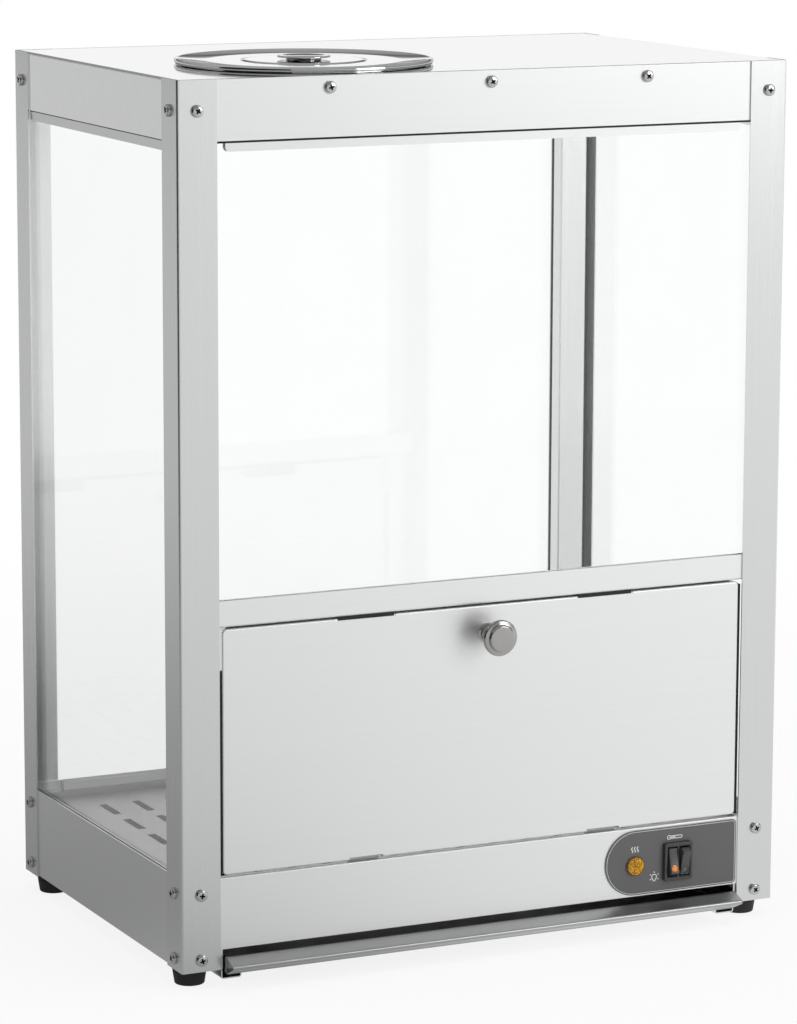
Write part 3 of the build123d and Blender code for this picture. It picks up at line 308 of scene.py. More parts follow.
dress(black_nylon, "thermostat", "cord_gland")
dress(plate_paint, "control_plate")
dress(white_nylon, "indicator_body", "terminal_block")
dress(catch_plastic, "magnetic_catches")
dress(white_ceramic, "lamp_holder")
dress(zinc_sheet, "control_box", "element_rails")
dress(element_sheath, "heating_element")
dress(rod_steel, "hinge_rod")
dress(frosted_bulb, "lamp_bulb")
print("materials so far:", len(bpy.data.materials))

# %% [markdown]
# ## Helpers for making pieces
#
# A turned piece is drawn as half of its outline and spun, as on a lathe. The outline is a
# chain of vertices, extruded one after the other from a single one. A finished piece is
# turned and moved to its place and that is then applied, so that its object stays at the
# origin as a CAD node's does, and a pattern on it doesn't slide.

# %% Selecting and placing
def middle(node):
    """The centre of a CAD node's box."""
    low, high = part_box(node)
    return (low + high) / 2


def only(obj):
    """Selects one object and nothing else."""
    bpy.ops.object.select_all(action="DESELECT")
    obj.select_set(True)
    bpy.context.view_layer.objects.active = obj


def settle(obj, matrix=None):
    """Puts a piece in its place and applies it."""
    if matrix is not None:
        obj.matrix_world = matrix @ obj.matrix_world
    only(obj)
    bpy.ops.object.transform_apply(location=True, rotation=True, scale=True)


def smooth(obj, angle=30):
    """Smooth shading, with edges sharper than the angle kept crisp."""
    only(obj)
    bpy.ops.object.shade_smooth_by_angle(angle=math.radians(angle))


def facing(place, outward):
    """The matrix that stands a piece on a place with its own Z pointing outward."""
    return Matrix.Translation(place) @ Vector(outward).to_track_quat("Z", "Y").to_matrix().to_4x4()


# %% Lathe
def chain(name, points):
    """A line of vertices through (x, z) points in mm, extruded from a single one, in edit mode."""
    bpy.ops.object.select_all(action="DESELECT")
    bpy.ops.mesh.primitive_plane_add(size=MM)
    obj = bpy.context.object
    obj.name = obj.data.name = name
    bpy.ops.object.mode_set(mode="EDIT")
    bpy.ops.mesh.select_all(action="SELECT")
    bpy.ops.mesh.merge(type="CENTER")
    bpy.ops.transform.translate(value=(points[0][0] * MM, 0, points[0][1] * MM))
    for (x_a, z_a), (x_b, z_b) in zip(points, points[1:]):
        step = ((x_b - x_a) * MM, 0, (z_b - z_a) * MM)
        bpy.ops.mesh.extrude_vertices_move(TRANSFORM_OT_translate={"value": step})
    bpy.ops.mesh.select_all(action="SELECT")
    return obj


def lathe(name, outline, matrix, steps=96, angle=30):
    """Spins an outline of (radius, height) points, in mm, about its own Z and places it."""
    obj = chain(name, outline)
    bpy.ops.mesh.spin(steps=steps, angle=math.tau, center=(0, 0, 0), axis=(0, 0, 1))
    bpy.ops.mesh.select_all(action="SELECT")
    bpy.ops.mesh.remove_doubles(threshold=0.005 * MM)
    bpy.ops.mesh.normals_make_consistent(inside=False)
    bpy.ops.object.mode_set(mode="OBJECT")
    settle(obj, matrix)
    smooth(obj, angle)
    return obj


def arc(radius, height, r, start, end, count):
    """Outline points on an arc about (radius, height), from start to end in degrees."""
    turns = [math.radians(start + (end - start) * i / count) for i in range(count + 1)]
    return [(radius + r * math.cos(t), height + r * math.sin(t)) for t in turns]


print("a quarter of an arc in six steps:", len(arc(0, 0, 1, 0, 90, 6)), "points")

# %% Blocks and bevels
def block(name, centre, size_mm):
    """A block with its size applied, the start of a piece or of a cutter."""
    bpy.ops.object.select_all(action="DESELECT")
    bpy.ops.mesh.primitive_cube_add(size=MM, location=centre)
    obj = bpy.context.object
    obj.name = obj.data.name = name
    obj.scale = size_mm
    settle(obj)
    return obj


def bevel(obj, width_mm, segments=3, angle=30):
    """Rounds the edges that are sharper than the angle."""
    only(obj)
    modifier = obj.modifiers.new("bevel", "BEVEL")
    modifier.width, modifier.segments = width_mm * MM, segments
    modifier.limit_method, modifier.angle_limit = "ANGLE", math.radians(angle)
    bpy.ops.object.modifier_apply(modifier=modifier.name)
    smooth(obj, 40)


print("blocks are sized in units of", MM, "m")

# %% Joining and finishing
def joined(name, parts):
    """Several pieces made one object."""
    bpy.ops.object.select_all(action="DESELECT")
    for part in parts:
        part.select_set(True)
    bpy.context.view_layer.objects.active = parts[0]
    bpy.ops.object.join()
    parts[0].name = parts[0].data.name = name
    return parts[0]


def finish_piece(obj, material, body, slot, *replaced):
    """Gives a piece a body, and a material if it has none. Hides the CAD nodes it stands for."""
    if not obj.data.materials:
        obj.data.materials.append(material)
    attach(obj, body)
    if replaced:
        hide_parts(*replaced)
    print(obj.name, len(obj.data.polygons), "faces, rides on", body)


print("ready to make pieces for", len(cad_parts), "nodes")

# %% [markdown]
# ## Pan-head screws
#
# M4 pan heads with a cross recess hold the posts and the bands. One head is turned on the
# lathe and the recess is cut with two tapered bars, as the punch does. The head is then
# copied to every place, each turned by its own angle, because nobody drives screws home to
# the same angle.

# %% One screw head
HEAD_RADIUS, HEAD_HEIGHT = 4.1, 2.6
RECESS_LENGTH, RECESS_WIDTH, RECESS_DEPTH, RECESS_TAPER = 6.0, 1.9, 1.9, 0.35

head_outline = [(0, 0), (HEAD_RADIUS - 0.25, 0), (HEAD_RADIUS, 0.25), (HEAD_RADIUS, 0.95)]
head_outline += arc(HEAD_RADIUS - 1.35, 1.0, 1.35, 15, 80, 5)
head_outline += [(1.2, HEAD_HEIGHT - 0.06), (0, HEAD_HEIGHT)]
screw_head = lathe("screw_head", head_outline, Matrix(), steps=40)
screw_head.data.materials.append(screw_plating)


def cut(obj, cutter, operation="DIFFERENCE"):
    """Combines the piece with a cutter, by default taking it out, and throws the cutter away."""
    only(obj)
    modifier = obj.modifiers.new("cut", "BOOLEAN")
    modifier.object = cutter
    modifier.operation = operation
    modifier.solver = "EXACT"
    modifier.material_mode = "TRANSFER" if cutter.data.materials else "INDEX"
    bpy.ops.object.modifier_apply(modifier=modifier.name)
    bpy.data.objects.remove(cutter)


for quarter in (0, 90):
    bar = block("punch_bar", (0, 0, HEAD_HEIGHT * MM),
                (RECESS_LENGTH, RECESS_WIDTH, 2 * RECESS_DEPTH))
    settle(bar, Matrix.Rotation(math.radians(quarter), 4, "Z"))
    # The cut faces of the recess take this painted shade from the bars.
    bar.data.materials.append(recess_shadow)
    bpy.ops.object.mode_set(mode="EDIT")
    bpy.ops.mesh.select_all(action="DESELECT")
    bpy.ops.object.mode_set(mode="OBJECT")
    for face in bar.data.polygons:
        face.select = face.normal.z < -0.9
    bpy.ops.object.mode_set(mode="EDIT")
    bpy.ops.transform.resize(value=(RECESS_TAPER, RECESS_TAPER, 1))
    bpy.ops.object.mode_set(mode="OBJECT")
    cut(screw_head, bar)
smooth(screw_head)
print("screw head", len(screw_head.data.polygons), "faces")

# %% Screws in their places
def copies(original, name, matrices):
    """Copies of a piece, each with its own mesh, joined into one object in place."""
    made = []
    for matrix in matrices:
        twin = original.copy()
        twin.data = original.data.copy()
        bpy.context.collection.objects.link(twin)
        twin.matrix_world = matrix
        made.append(twin)
    whole = joined(name, made)
    settle(whole)
    return whole


FIRST_TURN, NEXT_TURN = 17, 53


def driven(places):
    """Matrices for screws at (place, outward), each driven home to its own angle."""
    turns = [math.radians(FIRST_TURN + NEXT_TURN * i) for i in range(len(places))]
    return [facing(place, outward) @ Matrix.Rotation(turn, 4, "Z")
            for turn, (place, outward) in zip(turns, places)]


post_low, post_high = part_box("post_front_left")
rear_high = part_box("post_rear_right")[1]
front_y, rear_y = post_low.y, rear_high.y
left_x, right_x = post_low.x, rear_high.x
base_z, top_z = post_low.z, post_high.z
SCREW_X, SCREW_Y = 14 * MM, 13.25 * MM
SCREW_HEIGHTS = [base_z + 8 * MM, base_z + 52.5 * MM, base_z + 570 * MM]

post_places = []
for z in SCREW_HEIGHTS:
    for x, side in ((left_x, -1), (right_x, 1)):
        inner_x = x - side * SCREW_X
        post_places += [((inner_x, front_y, z), (0, -1, 0)), ((inner_x, rear_y, z), (0, 1, 0)),
                        ((x, front_y + SCREW_Y, z), (side, 0, 0)),
                        ((x, rear_y - SCREW_Y, z), (side, 0, 0))]
post_heads = copies(screw_head, "post_screw_heads", driven(post_places))
finish_piece(post_heads, screw_plating, "cabinet", "screw_steel", "post_screws")

# %% Screws of the bands and of the knobs
SHEET = 1.0 * MM
BAND_PITCH, BAND_DROP = 117 * MM, 7.7 * MM
band_z = top_z - BAND_DROP
band_places = []
for x in (-BAND_PITCH, 0, BAND_PITCH):
    band_places += [((x, front_y + SHEET, band_z), (0, -1, 0)),
                    ((x, rear_y - SHEET, band_z), (0, 1, 0))]
band_heads = copies(screw_head, "band_screw_heads", driven(band_places))
finish_piece(band_heads, screw_plating, "cabinet", "screw_steel", "band_screws")

knob_x, knob_z = middle("door_knob_screw").xz
head_back = Vector((knob_x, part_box("door_knob_screw")[1].y - HEAD_HEIGHT * MM, knob_z))
door_head = copies(screw_head, "door_knob_screw_head", driven([(head_back, (0, 1, 0))]))
finish_piece(door_head, screw_plating, "door", "screw_steel", "door_knob_screw")

lid_middle = middle("filler_lid")
lid_seat = Vector((lid_middle.x, lid_middle.y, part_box("lid_knob_screw")[0].z + HEAD_HEIGHT * MM))
lid_head = copies(screw_head, "lid_knob_screw_head", driven([(lid_seat, (0, 0, -1))]))
finish_piece(lid_head, screw_plating, "filler_lid", "screw_steel", "lid_knob_screw")

# %% [markdown]
# ## Rubber feet
#
# Four tapered rubber feet, each screwed up from below through a recess. They are moulded, so
# every edge is rounded, and a shallow groove runs round under the top.

# %% Feet and their screws
FOOT_TOP, FOOT_BOTTOM, FOOT_HEIGHT = 12.0, 10.2, 12.5
RECESS_RADIUS, RECESS_RISE = 5.0, 4.5
foot_outline = [(0, RECESS_RISE), (RECESS_RADIUS, RECESS_RISE), (RECESS_RADIUS, 0.5),
                (RECESS_RADIUS + 0.5, 0)]
foot_outline += arc(FOOT_BOTTOM - 1.0, 1.0, 1.0, -90, 0, 5)
foot_outline += [(11.4, 8.6), (11.0, 9.0), (11.0, 9.6), (11.7, 10.0), (FOOT_TOP, FOOT_HEIGHT - 0.6),
                 (FOOT_TOP - 0.3, FOOT_HEIGHT), (0, FOOT_HEIGHT)]
foot = lathe("rubber_foot", foot_outline, Matrix(), steps=48)

FOOT_X, FOOT_Y = 14 * MM, 21 * MM
foot_places = [Vector((x, y, 0)) for x in (left_x + FOOT_X, right_x - FOOT_X)
               for y in (front_y + FOOT_Y, rear_y - FOOT_Y)]
feet = copies(foot, "rubber_feet", [Matrix.Translation(p) for p in foot_places])
finish_piece(feet, black_rubber_and_painted_shade, "cabinet", "rubber_black", "feet")

foot_heads = copies(screw_head, "foot_screw_heads", driven(
    [(p + Vector((0, 0, RECESS_RISE * MM)), (0, 0, -1)) for p in foot_places]))
finish_piece(foot_heads, screw_plating, "cabinet", "screw_steel", "foot_screws")
for pattern in (screw_head, foot):
    bpy.data.objects.remove(pattern)

# %% [markdown]
# ## The filler lid
#
# The lid is one pressed disc: flat in the middle with a step at 41 mm, a dished ring, a
# slope up to the edge, and an edge rolled over a bead so that it isn't sharp. Its outline
# goes out over the top face, round the bead and back along the underside, so the lathe gives
# it its real thickness. Its knob is a low flanged button.

# %% Lid and its knob
LID_SHEET = 0.8
DISH, STEP, RIM, BEAD = 2.4, 0.6, 4.0, 1.85
LID_RADIUS, DISH_RADIUS, STEP_RADIUS = 87.0, 66.0, 41.0
bead_at = (LID_RADIUS - BEAD, RIM - BEAD)
lid_outline = [(0, DISH + STEP), (STEP_RADIUS - 2, DISH + STEP), (STEP_RADIUS - 1.5, DISH + STEP),
               (STEP_RADIUS, DISH + STEP - 0.15), (STEP_RADIUS + 0.9, DISH + 0.15),
               (STEP_RADIUS + 2.4, DISH), (STEP_RADIUS + 2.9, DISH)]
lid_outline += [(DISH_RADIUS - 2, DISH), (DISH_RADIUS - 1.5, DISH),
                (DISH_RADIUS + 0.9, DISH + 0.12), (DISH_RADIUS + 1.5, DISH + 0.18)]
lid_outline += arc(*bead_at, BEAD, 125, -150, 14)
lid_outline += [(DISH_RADIUS + 1.0, DISH - LID_SHEET + 0.1), (DISH_RADIUS - 1.0, DISH - LID_SHEET),
                (STEP_RADIUS + 1.2, DISH - LID_SHEET), (STEP_RADIUS, DISH + STEP - LID_SHEET),
                (0, DISH + STEP - LID_SHEET)]
lid_base = Vector((lid_middle.x, lid_middle.y, top_z))
lid = lathe("dished_lid", lid_outline, Matrix.Translation(lid_base), steps=160, angle=40)
finish_piece(lid, steel_polished, "filler_lid", "stainless_polished", "filler_lid")

NECK, NECK_HEIGHT, BUTTON, BUTTON_HEIGHT = 12.0, 1.4, 18.0, 1.2
knob_floor = DISH + STEP
button_floor = knob_floor + NECK_HEIGHT
button_top = button_floor + BUTTON_HEIGHT
knob_outline = [(0, knob_floor), (NECK, knob_floor), (NECK - 0.4, knob_floor + NECK_HEIGHT / 2),
                (NECK + 0.3, button_floor)]
knob_outline += arc(BUTTON - 0.5, button_floor + 0.5, 0.5, -90, 90, 6)
knob_outline += [(BUTTON - 2.5, button_top), (BUTTON - 4.5, button_top - 0.35),
                 (0, button_top - 0.45)]
lid_button = lathe("lid_button", knob_outline, Matrix.Translation(lid_base), angle=35)
finish_piece(lid_button, steel_polished, "filler_lid", "stainless_polished", "lid_knob")

# %% [markdown]
# ## The door's knob
#
# A turned knob in satin nickel: a narrow neck, a disc with a rounded rim and a raised flat
# face inside a small groove. The cuts of the turning tool leave it a soft, even sheen.

# %% Door knob
door_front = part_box("door_panel")[0].y
KNOB, KNOB_FACE, KNOB_NECK, KNOB_LENGTH = 12.5, 9.25, 6.0, 22.5
RIM_ROUND, FACE_ROUND = 1.7, 1.4
turned = [(0, 0), (KNOB_NECK + 1.0, 0), (KNOB_NECK + 1.0, 0.8), (KNOB_NECK, 1.4),
          (KNOB_NECK, 11.5), (KNOB_NECK + 0.5, 12.6), (KNOB_NECK + 2.2, 14.0), (KNOB - 1.0, 16.2)]
turned += arc(KNOB - RIM_ROUND, 18.6, RIM_ROUND, -30, 80, 10)
turned += [(KNOB_FACE + 0.5, 20.4), (KNOB_FACE + 0.1, 20.6)]
turned += arc(KNOB_FACE - FACE_ROUND, KNOB_LENGTH - FACE_ROUND, FACE_ROUND, 10, 90, 6)
turned += [(4.0, KNOB_LENGTH), (0, KNOB_LENGTH)]
door_knob = lathe("turned_door_knob", turned, facing((knob_x, door_front, knob_z), (0, -1, 0)),
                  angle=35)
finish_piece(door_knob, satin_nickel, "door", "satin_nickel", "door_knob")

# %% [markdown]
# ## Panes
#
# Toughened glass, 4 mm thick, with ground edges. Clear glass looks green where light travels
# a long way through it, so the ground edge gets a material of its own. Lamplight passes
# straight through a pane, as it does through any window. The box of each CAD pane gives the
# size, and a bevel eases the corners as the grinder does.

# %% Glass and ground edges
SMEAR_SIZE = 40 * MM
clear_glass, tree, shader = new_material("clear_toughened_glass", Transmission_Weight=1.0, IOR=1.5,
                                         Specular_IOR_Level=0.35)
place = add_node(tree, "TexCoord")
smear = add_node(tree, "TexNoise", {"Vector": (place, "Object"), "Scale": 1 / SMEAR_SIZE,
                                    "Detail": 2.0})
film = add_node(tree, "MapRange", {"Value": (smear, "Fac"), "To Min": 0.0, "To Max": 0.004})
tint = add_node(tree, "Mix", {"Factor": (smear, "Fac"), "A": linear("#fdfefe"),
                              "B": linear("#ffffff")}, data_type="RGBA")
wire(tree, shader, Base_Color=(tint, "Result"), Roughness=(film, "Result"))
path = add_node(tree, "LightPath")
lets_light_in = add_node(tree, "BsdfTransparent", {"Color": (0.94, 0.94, 0.94, 1)})
pane = add_node(tree, "MixShader", {0: (path, "Is Shadow Ray"), 1: (shader, "BSDF"),
                                    2: (lets_light_in, "BSDF")})
tree.links.new(pane.outputs["Shader"], tree.nodes["Material Output"].inputs["Surface"])
ground_edge = grained("ground_glass_edge", ("#a9c4b8", "#bcd3c8"), 0.40, 1.2,
                      Transmission_Weight=0.6, IOR=1.5)
print("glass and its ground edge")

# %% The four panes
EASED_EDGE = 0.6 * MM


def glass_pane(name, node):
    """A pane the size of its CAD node, its edges eased and ground."""
    low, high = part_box(node)
    obj = block(name, (low + high) / 2, (high - low) / MM)
    thin = min(range(3), key=lambda k: high[k] - low[k])
    corner = obj.modifiers.new("corner", "BEVEL")
    corner.width, corner.segments, corner.limit_method = EASED_EDGE, 2, "ANGLE"
    bpy.ops.object.modifier_apply(modifier=corner.name)
    obj.data.materials.append(clear_glass)
    obj.data.materials.append(ground_edge)
    for face in obj.data.polygons:
        face.material_index = 0 if abs(face.normal[thin]) > 0.99 else 1
    finish_piece(obj, clear_glass, "cabinet", "glass_clear", node)


for name in ("front", "rear", "left", "right"):
    glass_pane(name + "_pane", name + "_glass")

# %% [markdown]
# ## The twin rocker switch
#
# A snap-in housing in black plastic and two rockers side by side. The bezel starts as a flat
# plane: its corners are rounded, it is pushed out to its thickness, and its front edge is
# rounded in turn. The body behind is joined on, then the shallow step and the two pockets are
# cut. Every size is in millimetres.

# %% Switch sizes
plate_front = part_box("control_plate")[0].y
switch_x, switch_z = middle("switch_housing").xz
BEZEL_WIDTH, BEZEL_HEIGHT, BEZEL_THICKNESS = 22.0, 27.0, 3.6
BEZEL_CORNER, BEZEL_ROUND = 1.5, 0.65
BEZEL_STEP, STEP_BORDER = 0.6, 0.7
BODY_WIDTH, BODY_HEIGHT = 19.6, 25.0
ROCKER_WIDTH, RIDGE_AT, RIDGE_OUT, FACE_DIP = 6.4, 8.6, 5.4, 0.7
ROOT_DEPTH, ROOT_HALF = 5.0, 4.5
DIVIDER, POCKET_WIDTH, POCKET_DEPTH, POCKET_PLAY = 1.4, 7.9, 11.5, 0.65
ROCKER_REACH = math.hypot(RIDGE_OUT, RIDGE_AT)
pocket_height = 2 * (ROCKER_REACH + POCKET_PLAY)
rocker_pitch = POCKET_WIDTH + DIVIDER
bezel_front = plate_front - BEZEL_THICKNESS * MM
print("switch at", round(switch_x, 4), round(switch_z, 4))

# %% Switch housing
def thicken(obj, step, rounded_mm=0):
    """Pushes a flat outline out to a solid, and can round the edges of its far face."""
    only(obj)
    bpy.ops.object.mode_set(mode="EDIT")
    bpy.ops.mesh.select_all(action="SELECT")
    bpy.ops.mesh.extrude_region_move(TRANSFORM_OT_translate={"value": step})
    if rounded_mm:
        bpy.ops.mesh.bevel(offset=rounded_mm * MM, segments=4, affect="EDGES")
    bpy.ops.mesh.select_all(action="SELECT")
    bpy.ops.mesh.normals_make_consistent(inside=False)
    bpy.ops.object.mode_set(mode="OBJECT")


bpy.ops.object.select_all(action="DESELECT")
bpy.ops.mesh.primitive_plane_add(size=MM)
bezel = bpy.context.object
bezel.name = bezel.data.name = "rocker_switch_housing"
bezel.scale = (BEZEL_WIDTH, BEZEL_HEIGHT, 1)
settle(bezel)
bpy.ops.object.mode_set(mode="EDIT")
bpy.ops.mesh.select_all(action="SELECT")
bpy.ops.mesh.bevel(offset=BEZEL_CORNER * MM, segments=6, affect="VERTICES")
bpy.ops.object.mode_set(mode="OBJECT")
thicken(bezel, (0, 0, BEZEL_THICKNESS * MM), rounded_mm=BEZEL_ROUND)
settle(bezel, facing((switch_x, plate_front, switch_z), (0, -1, 0)))
print("bezel", len(bezel.data.polygons), "faces")

# %% Its body, step and pockets
body_back = (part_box("switch_housing")[1].y - plate_front) / MM
body = block("switch_body", (switch_x, plate_front + (body_back - 1) / 2 * MM, switch_z),
             (BODY_WIDTH, body_back + 1, BODY_HEIGHT))
cut(bezel, body, "UNION")
step_cut = (POCKET_WIDTH + rocker_pitch + 2 * STEP_BORDER, 2 * BEZEL_STEP,
            pocket_height + 2 * STEP_BORDER)
cut(bezel, block("step", (switch_x, bezel_front, switch_z), step_cut))
for side in (-1, 1):
    pocket_at = (switch_x + side * rocker_pitch / 2 * MM, bezel_front, switch_z)
    cut(bezel, block("pocket", pocket_at, (POCKET_WIDTH, 2 * POCKET_DEPTH, pocket_height)))
smooth(bezel, 30)
finish_piece(bezel, switch_plastic, "cabinet", "switch_black", "switch_housing")

# %% [markdown]
# ## Wire duct
#
# The lamp's wires run up the rear corner in a channel that is open towards the side pane. In
# the photograph it reaches nearly to that pane, so its legs are a little deeper here.

# %% Wire duct
DUCT_WALL, SILL_GAP, DUCT_ROUND = 0.8, 0.3, 1.2
duct_low, duct_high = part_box("wire_duct")
duct_high.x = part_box("right_sill")[0].x - SILL_GAP * MM
duct_size = (duct_high - duct_low) / MM
duct = block("wire_channel", (duct_low + duct_high) / 2, duct_size)
bevel(duct, DUCT_ROUND)
hollow_size = (duct_size.x, duct_size.y - 2 * DUCT_WALL, duct_size.z + 10)
hollow_place = (duct_low + duct_high) / 2
hollow_place.x += DUCT_WALL * MM
cut(duct, block("hollow", hollow_place, hollow_size))
only(duct)
bpy.ops.object.shade_flat()
finish_piece(duct, steel_upright, "cabinet", "stainless_brushed", "wire_duct")

# %% [markdown]
# ## Painted shade in seams and gaps
#
# Thin black beads lie along the lower edges of the bands and of the cover's sides, where they
# meet the clips on the panes, and in the seams over the bands. Narrow strips back the gaps over
# the door and beside it, clear of its swing. They draw the dark lines that the photograph
# shows in these places: painted shade, dark pieces put where the seams and gaps lie in shadow.

# %% Painted shade in the seams
band_low, band_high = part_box("front_band")
cover_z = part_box("top_cover")[0].z
clip_low, clip_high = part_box("left_glass_clip")
SHADE_BEAD, SIDE_SHADE_BEAD, SEAM, SEAM_IN = 1.4, 0.8, 0.7, 0.25


def shade_bead(size_mm, centre):
    """A rounded dark bead, painted shade in a seam or gap."""
    bead = block("shade_bead", centre, size_mm)
    bevel(bead, 0.3, 2)
    return bead


band_length = (band_high.x - band_low.x) / MM - 2
front_clip_y, rear_clip_y = band_high.y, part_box("rear_band")[0].y
clip_middle = middle("left_glass_clip").y
clip_length = (clip_high.y - clip_low.y) / MM
beads = [shade_bead((band_length, SHADE_BEAD, SHADE_BEAD), (0, y, band_low.z - SHADE_BEAD / 2 * MM))
         for y in (front_clip_y, rear_clip_y)]
beads += [shade_bead((SIDE_SHADE_BEAD, clip_length, SIDE_SHADE_BEAD),
                    (x, clip_middle, cover_z - SIDE_SHADE_BEAD / 2 * MM))
          for x in (clip_low.x, -clip_low.x)]
beads += [shade_bead((band_length, SEAM, SEAM), (0, y, band_high.z - SEAM / 2 * MM))
          for y in (front_clip_y + SEAM_IN * MM, rear_clip_y - SEAM_IN * MM)]
print(len(beads), "beads at the bands")

# %% Strips round the door
# Painted shade: dark strips behind the gaps over and beside the door.
STRIP, STRIP_DEPTH, TOP_STRIP_LENGTH = 0.8, 4.0, 380.0
TOP_STRIP_UP, TOP_STRIP_BACK, SIDE_STRIP_BACK, DOOR_CLEARANCE = 0.75, 5, 0.4, 0.35
SIDE_STRIPS = ((-1, 0.8, 28.0), (1, 1.3, 2.0))  # side, width, how much shorter than the door
door_low, door_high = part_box("door_panel")
top_strip_place = (0, door_low.y + TOP_STRIP_BACK * MM, door_high.z + TOP_STRIP_UP * MM)
beads.append(shade_bead((TOP_STRIP_LENGTH, STRIP_DEPTH, STRIP), top_strip_place))
side_strip_y = door_low.y + (STRIP_DEPTH / 2 + SIDE_STRIP_BACK) * MM
for side, width, shortened in SIDE_STRIPS:
    strip_length = (door_high.z - door_low.z) / MM - shortened
    strip_place = (side * (door_high.x + (DOOR_CLEARANCE + width / 2) * MM), side_strip_y,
                   door_low.z + strip_length / 2 * MM)
    beads.append(shade_bead((width, STRIP_DEPTH, strip_length), strip_place))
shade_strips = joined("painted_shade_strips", beads)
# The strips share the feet's black rubber, here as painted shade.
finish_piece(shade_strips, black_rubber_and_painted_shade, "cabinet", "rubber_black")

# %% [markdown]
# ## Rockers and their lenses
#
# The rockers are drawn from the side, a hollow face between two ridges and round ends about
# the pivot, and pushed out to their width. Each carries a small round lens in a recess near
# its lower end. The light is switched on, so its lens is lit, and the heater's isn't.

# %% Rockers
PIVOT_DEPTH, ROCKER_TILT = 3.0, 14
TILTS = {"light_rocker": -ROCKER_TILT, "heat_rocker": ROCKER_TILT}
pivot = Vector((0, bezel_front + PIVOT_DEPTH * MM, switch_z))
SMALL_LENS, LENS_DROP, LENS_SEAT, LENS_PLAY, ROCKER_ROUND = 2.4, 5.1, 4.2, 0.35, 0.35
lens_seat = facing((0, -LENS_SEAT * MM, -LENS_DROP * MM), (0, -1, 0))


def tipped(node):
    """The matrix from a rocker's own axes to its place, tipped as the rocker is."""
    return (Matrix.Translation(pivot + Vector((middle(node).x, 0, 0)))
            @ Matrix.Rotation(math.radians(TILTS[node]), 4, "X"))


def rocker_side():
    """Points of the side view as (outward, up) about the pivot, in mm."""
    end_turn = math.degrees(math.atan2(RIDGE_AT, RIDGE_OUT))
    face = [(RIDGE_OUT - FACE_DIP * (1 - (i / 6) ** 2), RIDGE_AT * i / 6) for i in range(-6, 7)]
    top = arc(0, 0, ROCKER_REACH, end_turn, 90, 6)
    bottom = arc(0, 0, ROCKER_REACH, -90, -end_turn, 6)
    return face[1:-1] + top + [(-ROOT_DEPTH, ROOT_HALF), (-ROOT_DEPTH, -ROOT_HALF)] + bottom


def rocker(name, matrix):
    """A rocker pushed out from its side view, rounded, recessed for its lens and placed."""
    outline = rocker_side()
    bpy.ops.object.select_all(action="DESELECT")
    bpy.ops.mesh.primitive_circle_add(vertices=len(outline), radius=MM, fill_type="NGON")
    obj = bpy.context.object
    obj.name = obj.data.name = name
    for vertex, (outward, up) in zip(obj.data.vertices, outline):
        vertex.co = Vector((-ROCKER_WIDTH / 2, -outward, up)) * MM
    thicken(obj, (ROCKER_WIDTH * MM, 0, 0))
    bevel(obj, ROCKER_ROUND, angle=25)
    recess = [(0, 0), (SMALL_LENS + LENS_PLAY, 0), (SMALL_LENS + LENS_PLAY, 4), (0, 4)]
    cut(obj, lathe("recess", recess, lens_seat, steps=48))
    smooth(obj)
    settle(obj, matrix)
    return obj


for node in TILTS:
    key = rocker(node + "_key", tipped(node))
    finish_piece(key, rocker_plastic, node, "switch_black", node)

# %% [markdown]
# ## Lenses
#
# The indicator is a clear amber lens that snaps into the plate. Its face is cut into small
# pyramids that scatter the lamp's light. The two small ones in the rockers are smooth, and
# only their colours differ.

# %% Lens materials
def lens_plastic(name, colours, cells_mm, **shader_inputs):
    """Clear coloured plastic with a faint change of depth across it."""
    material, tree, shader = new_material(name, IOR=1.49, **shader_inputs)
    place = add_node(tree, "TexCoord")
    depth = add_node(tree, "TexNoise", {"Vector": (place, "Object"),
                                        "Scale": 1 / (cells_mm * MM), "Detail": 2.0})
    cells = add_node(tree, "MapRange", {"Value": (depth, "Fac"), "From Min": 0.36,
                                        "From Max": 0.64})
    tint = add_node(tree, "Mix", {"Factor": (cells, "Result"), "A": linear(colours[0]),
                                  "B": linear(colours[1])}, data_type="RGBA")
    wire(tree, shader, Base_Color=(tint, "Result"))
    return material


amber = lens_plastic("amber_lens", ("#a86a04", "#ffcf4a"), 1.0, Transmission_Weight=0.1,
                     Roughness=0.12)
amber_rim = lens_plastic("amber_lens_rim", ("#6b3a0a", "#8a5212"), 2.0, Transmission_Weight=0.15,
                         Roughness=0.2)
lit_amber = lens_plastic("lit_amber_lens", ("#c8702c", "#e09a58"), 1.5, Roughness=0.2,
                         Emission_Color=linear("#ff9a4a"), Emission_Strength=0.15)
unlit_lens = lens_plastic("unlit_smoked_lens", ("#4e4e4f", "#6a6a6b"), 1.5, Roughness=0.2)
print("four lens plastics")

# %% Indicator lens
lens_place = middle("indicator_lens")
lens_place.y = plate_front
LENS_RADIUS, LENS_FACE = 7.0, 6.1
lens_outline = [(0, 0), (LENS_RADIUS, 0), (LENS_RADIUS, 0.7)]
lens_outline += arc(LENS_RADIUS - 0.5, 0.7, 0.5, 20, 90, 4)
lens_outline += [(LENS_FACE, 1.2), (LENS_FACE, 0.9), (0, 0.9)]
lens_ring = lathe("indicator_ring", lens_outline, facing(lens_place, (0, -1, 0)), steps=64)
finish_piece(lens_ring, amber_rim, "cabinet", "lens_amber", "indicator_lens")

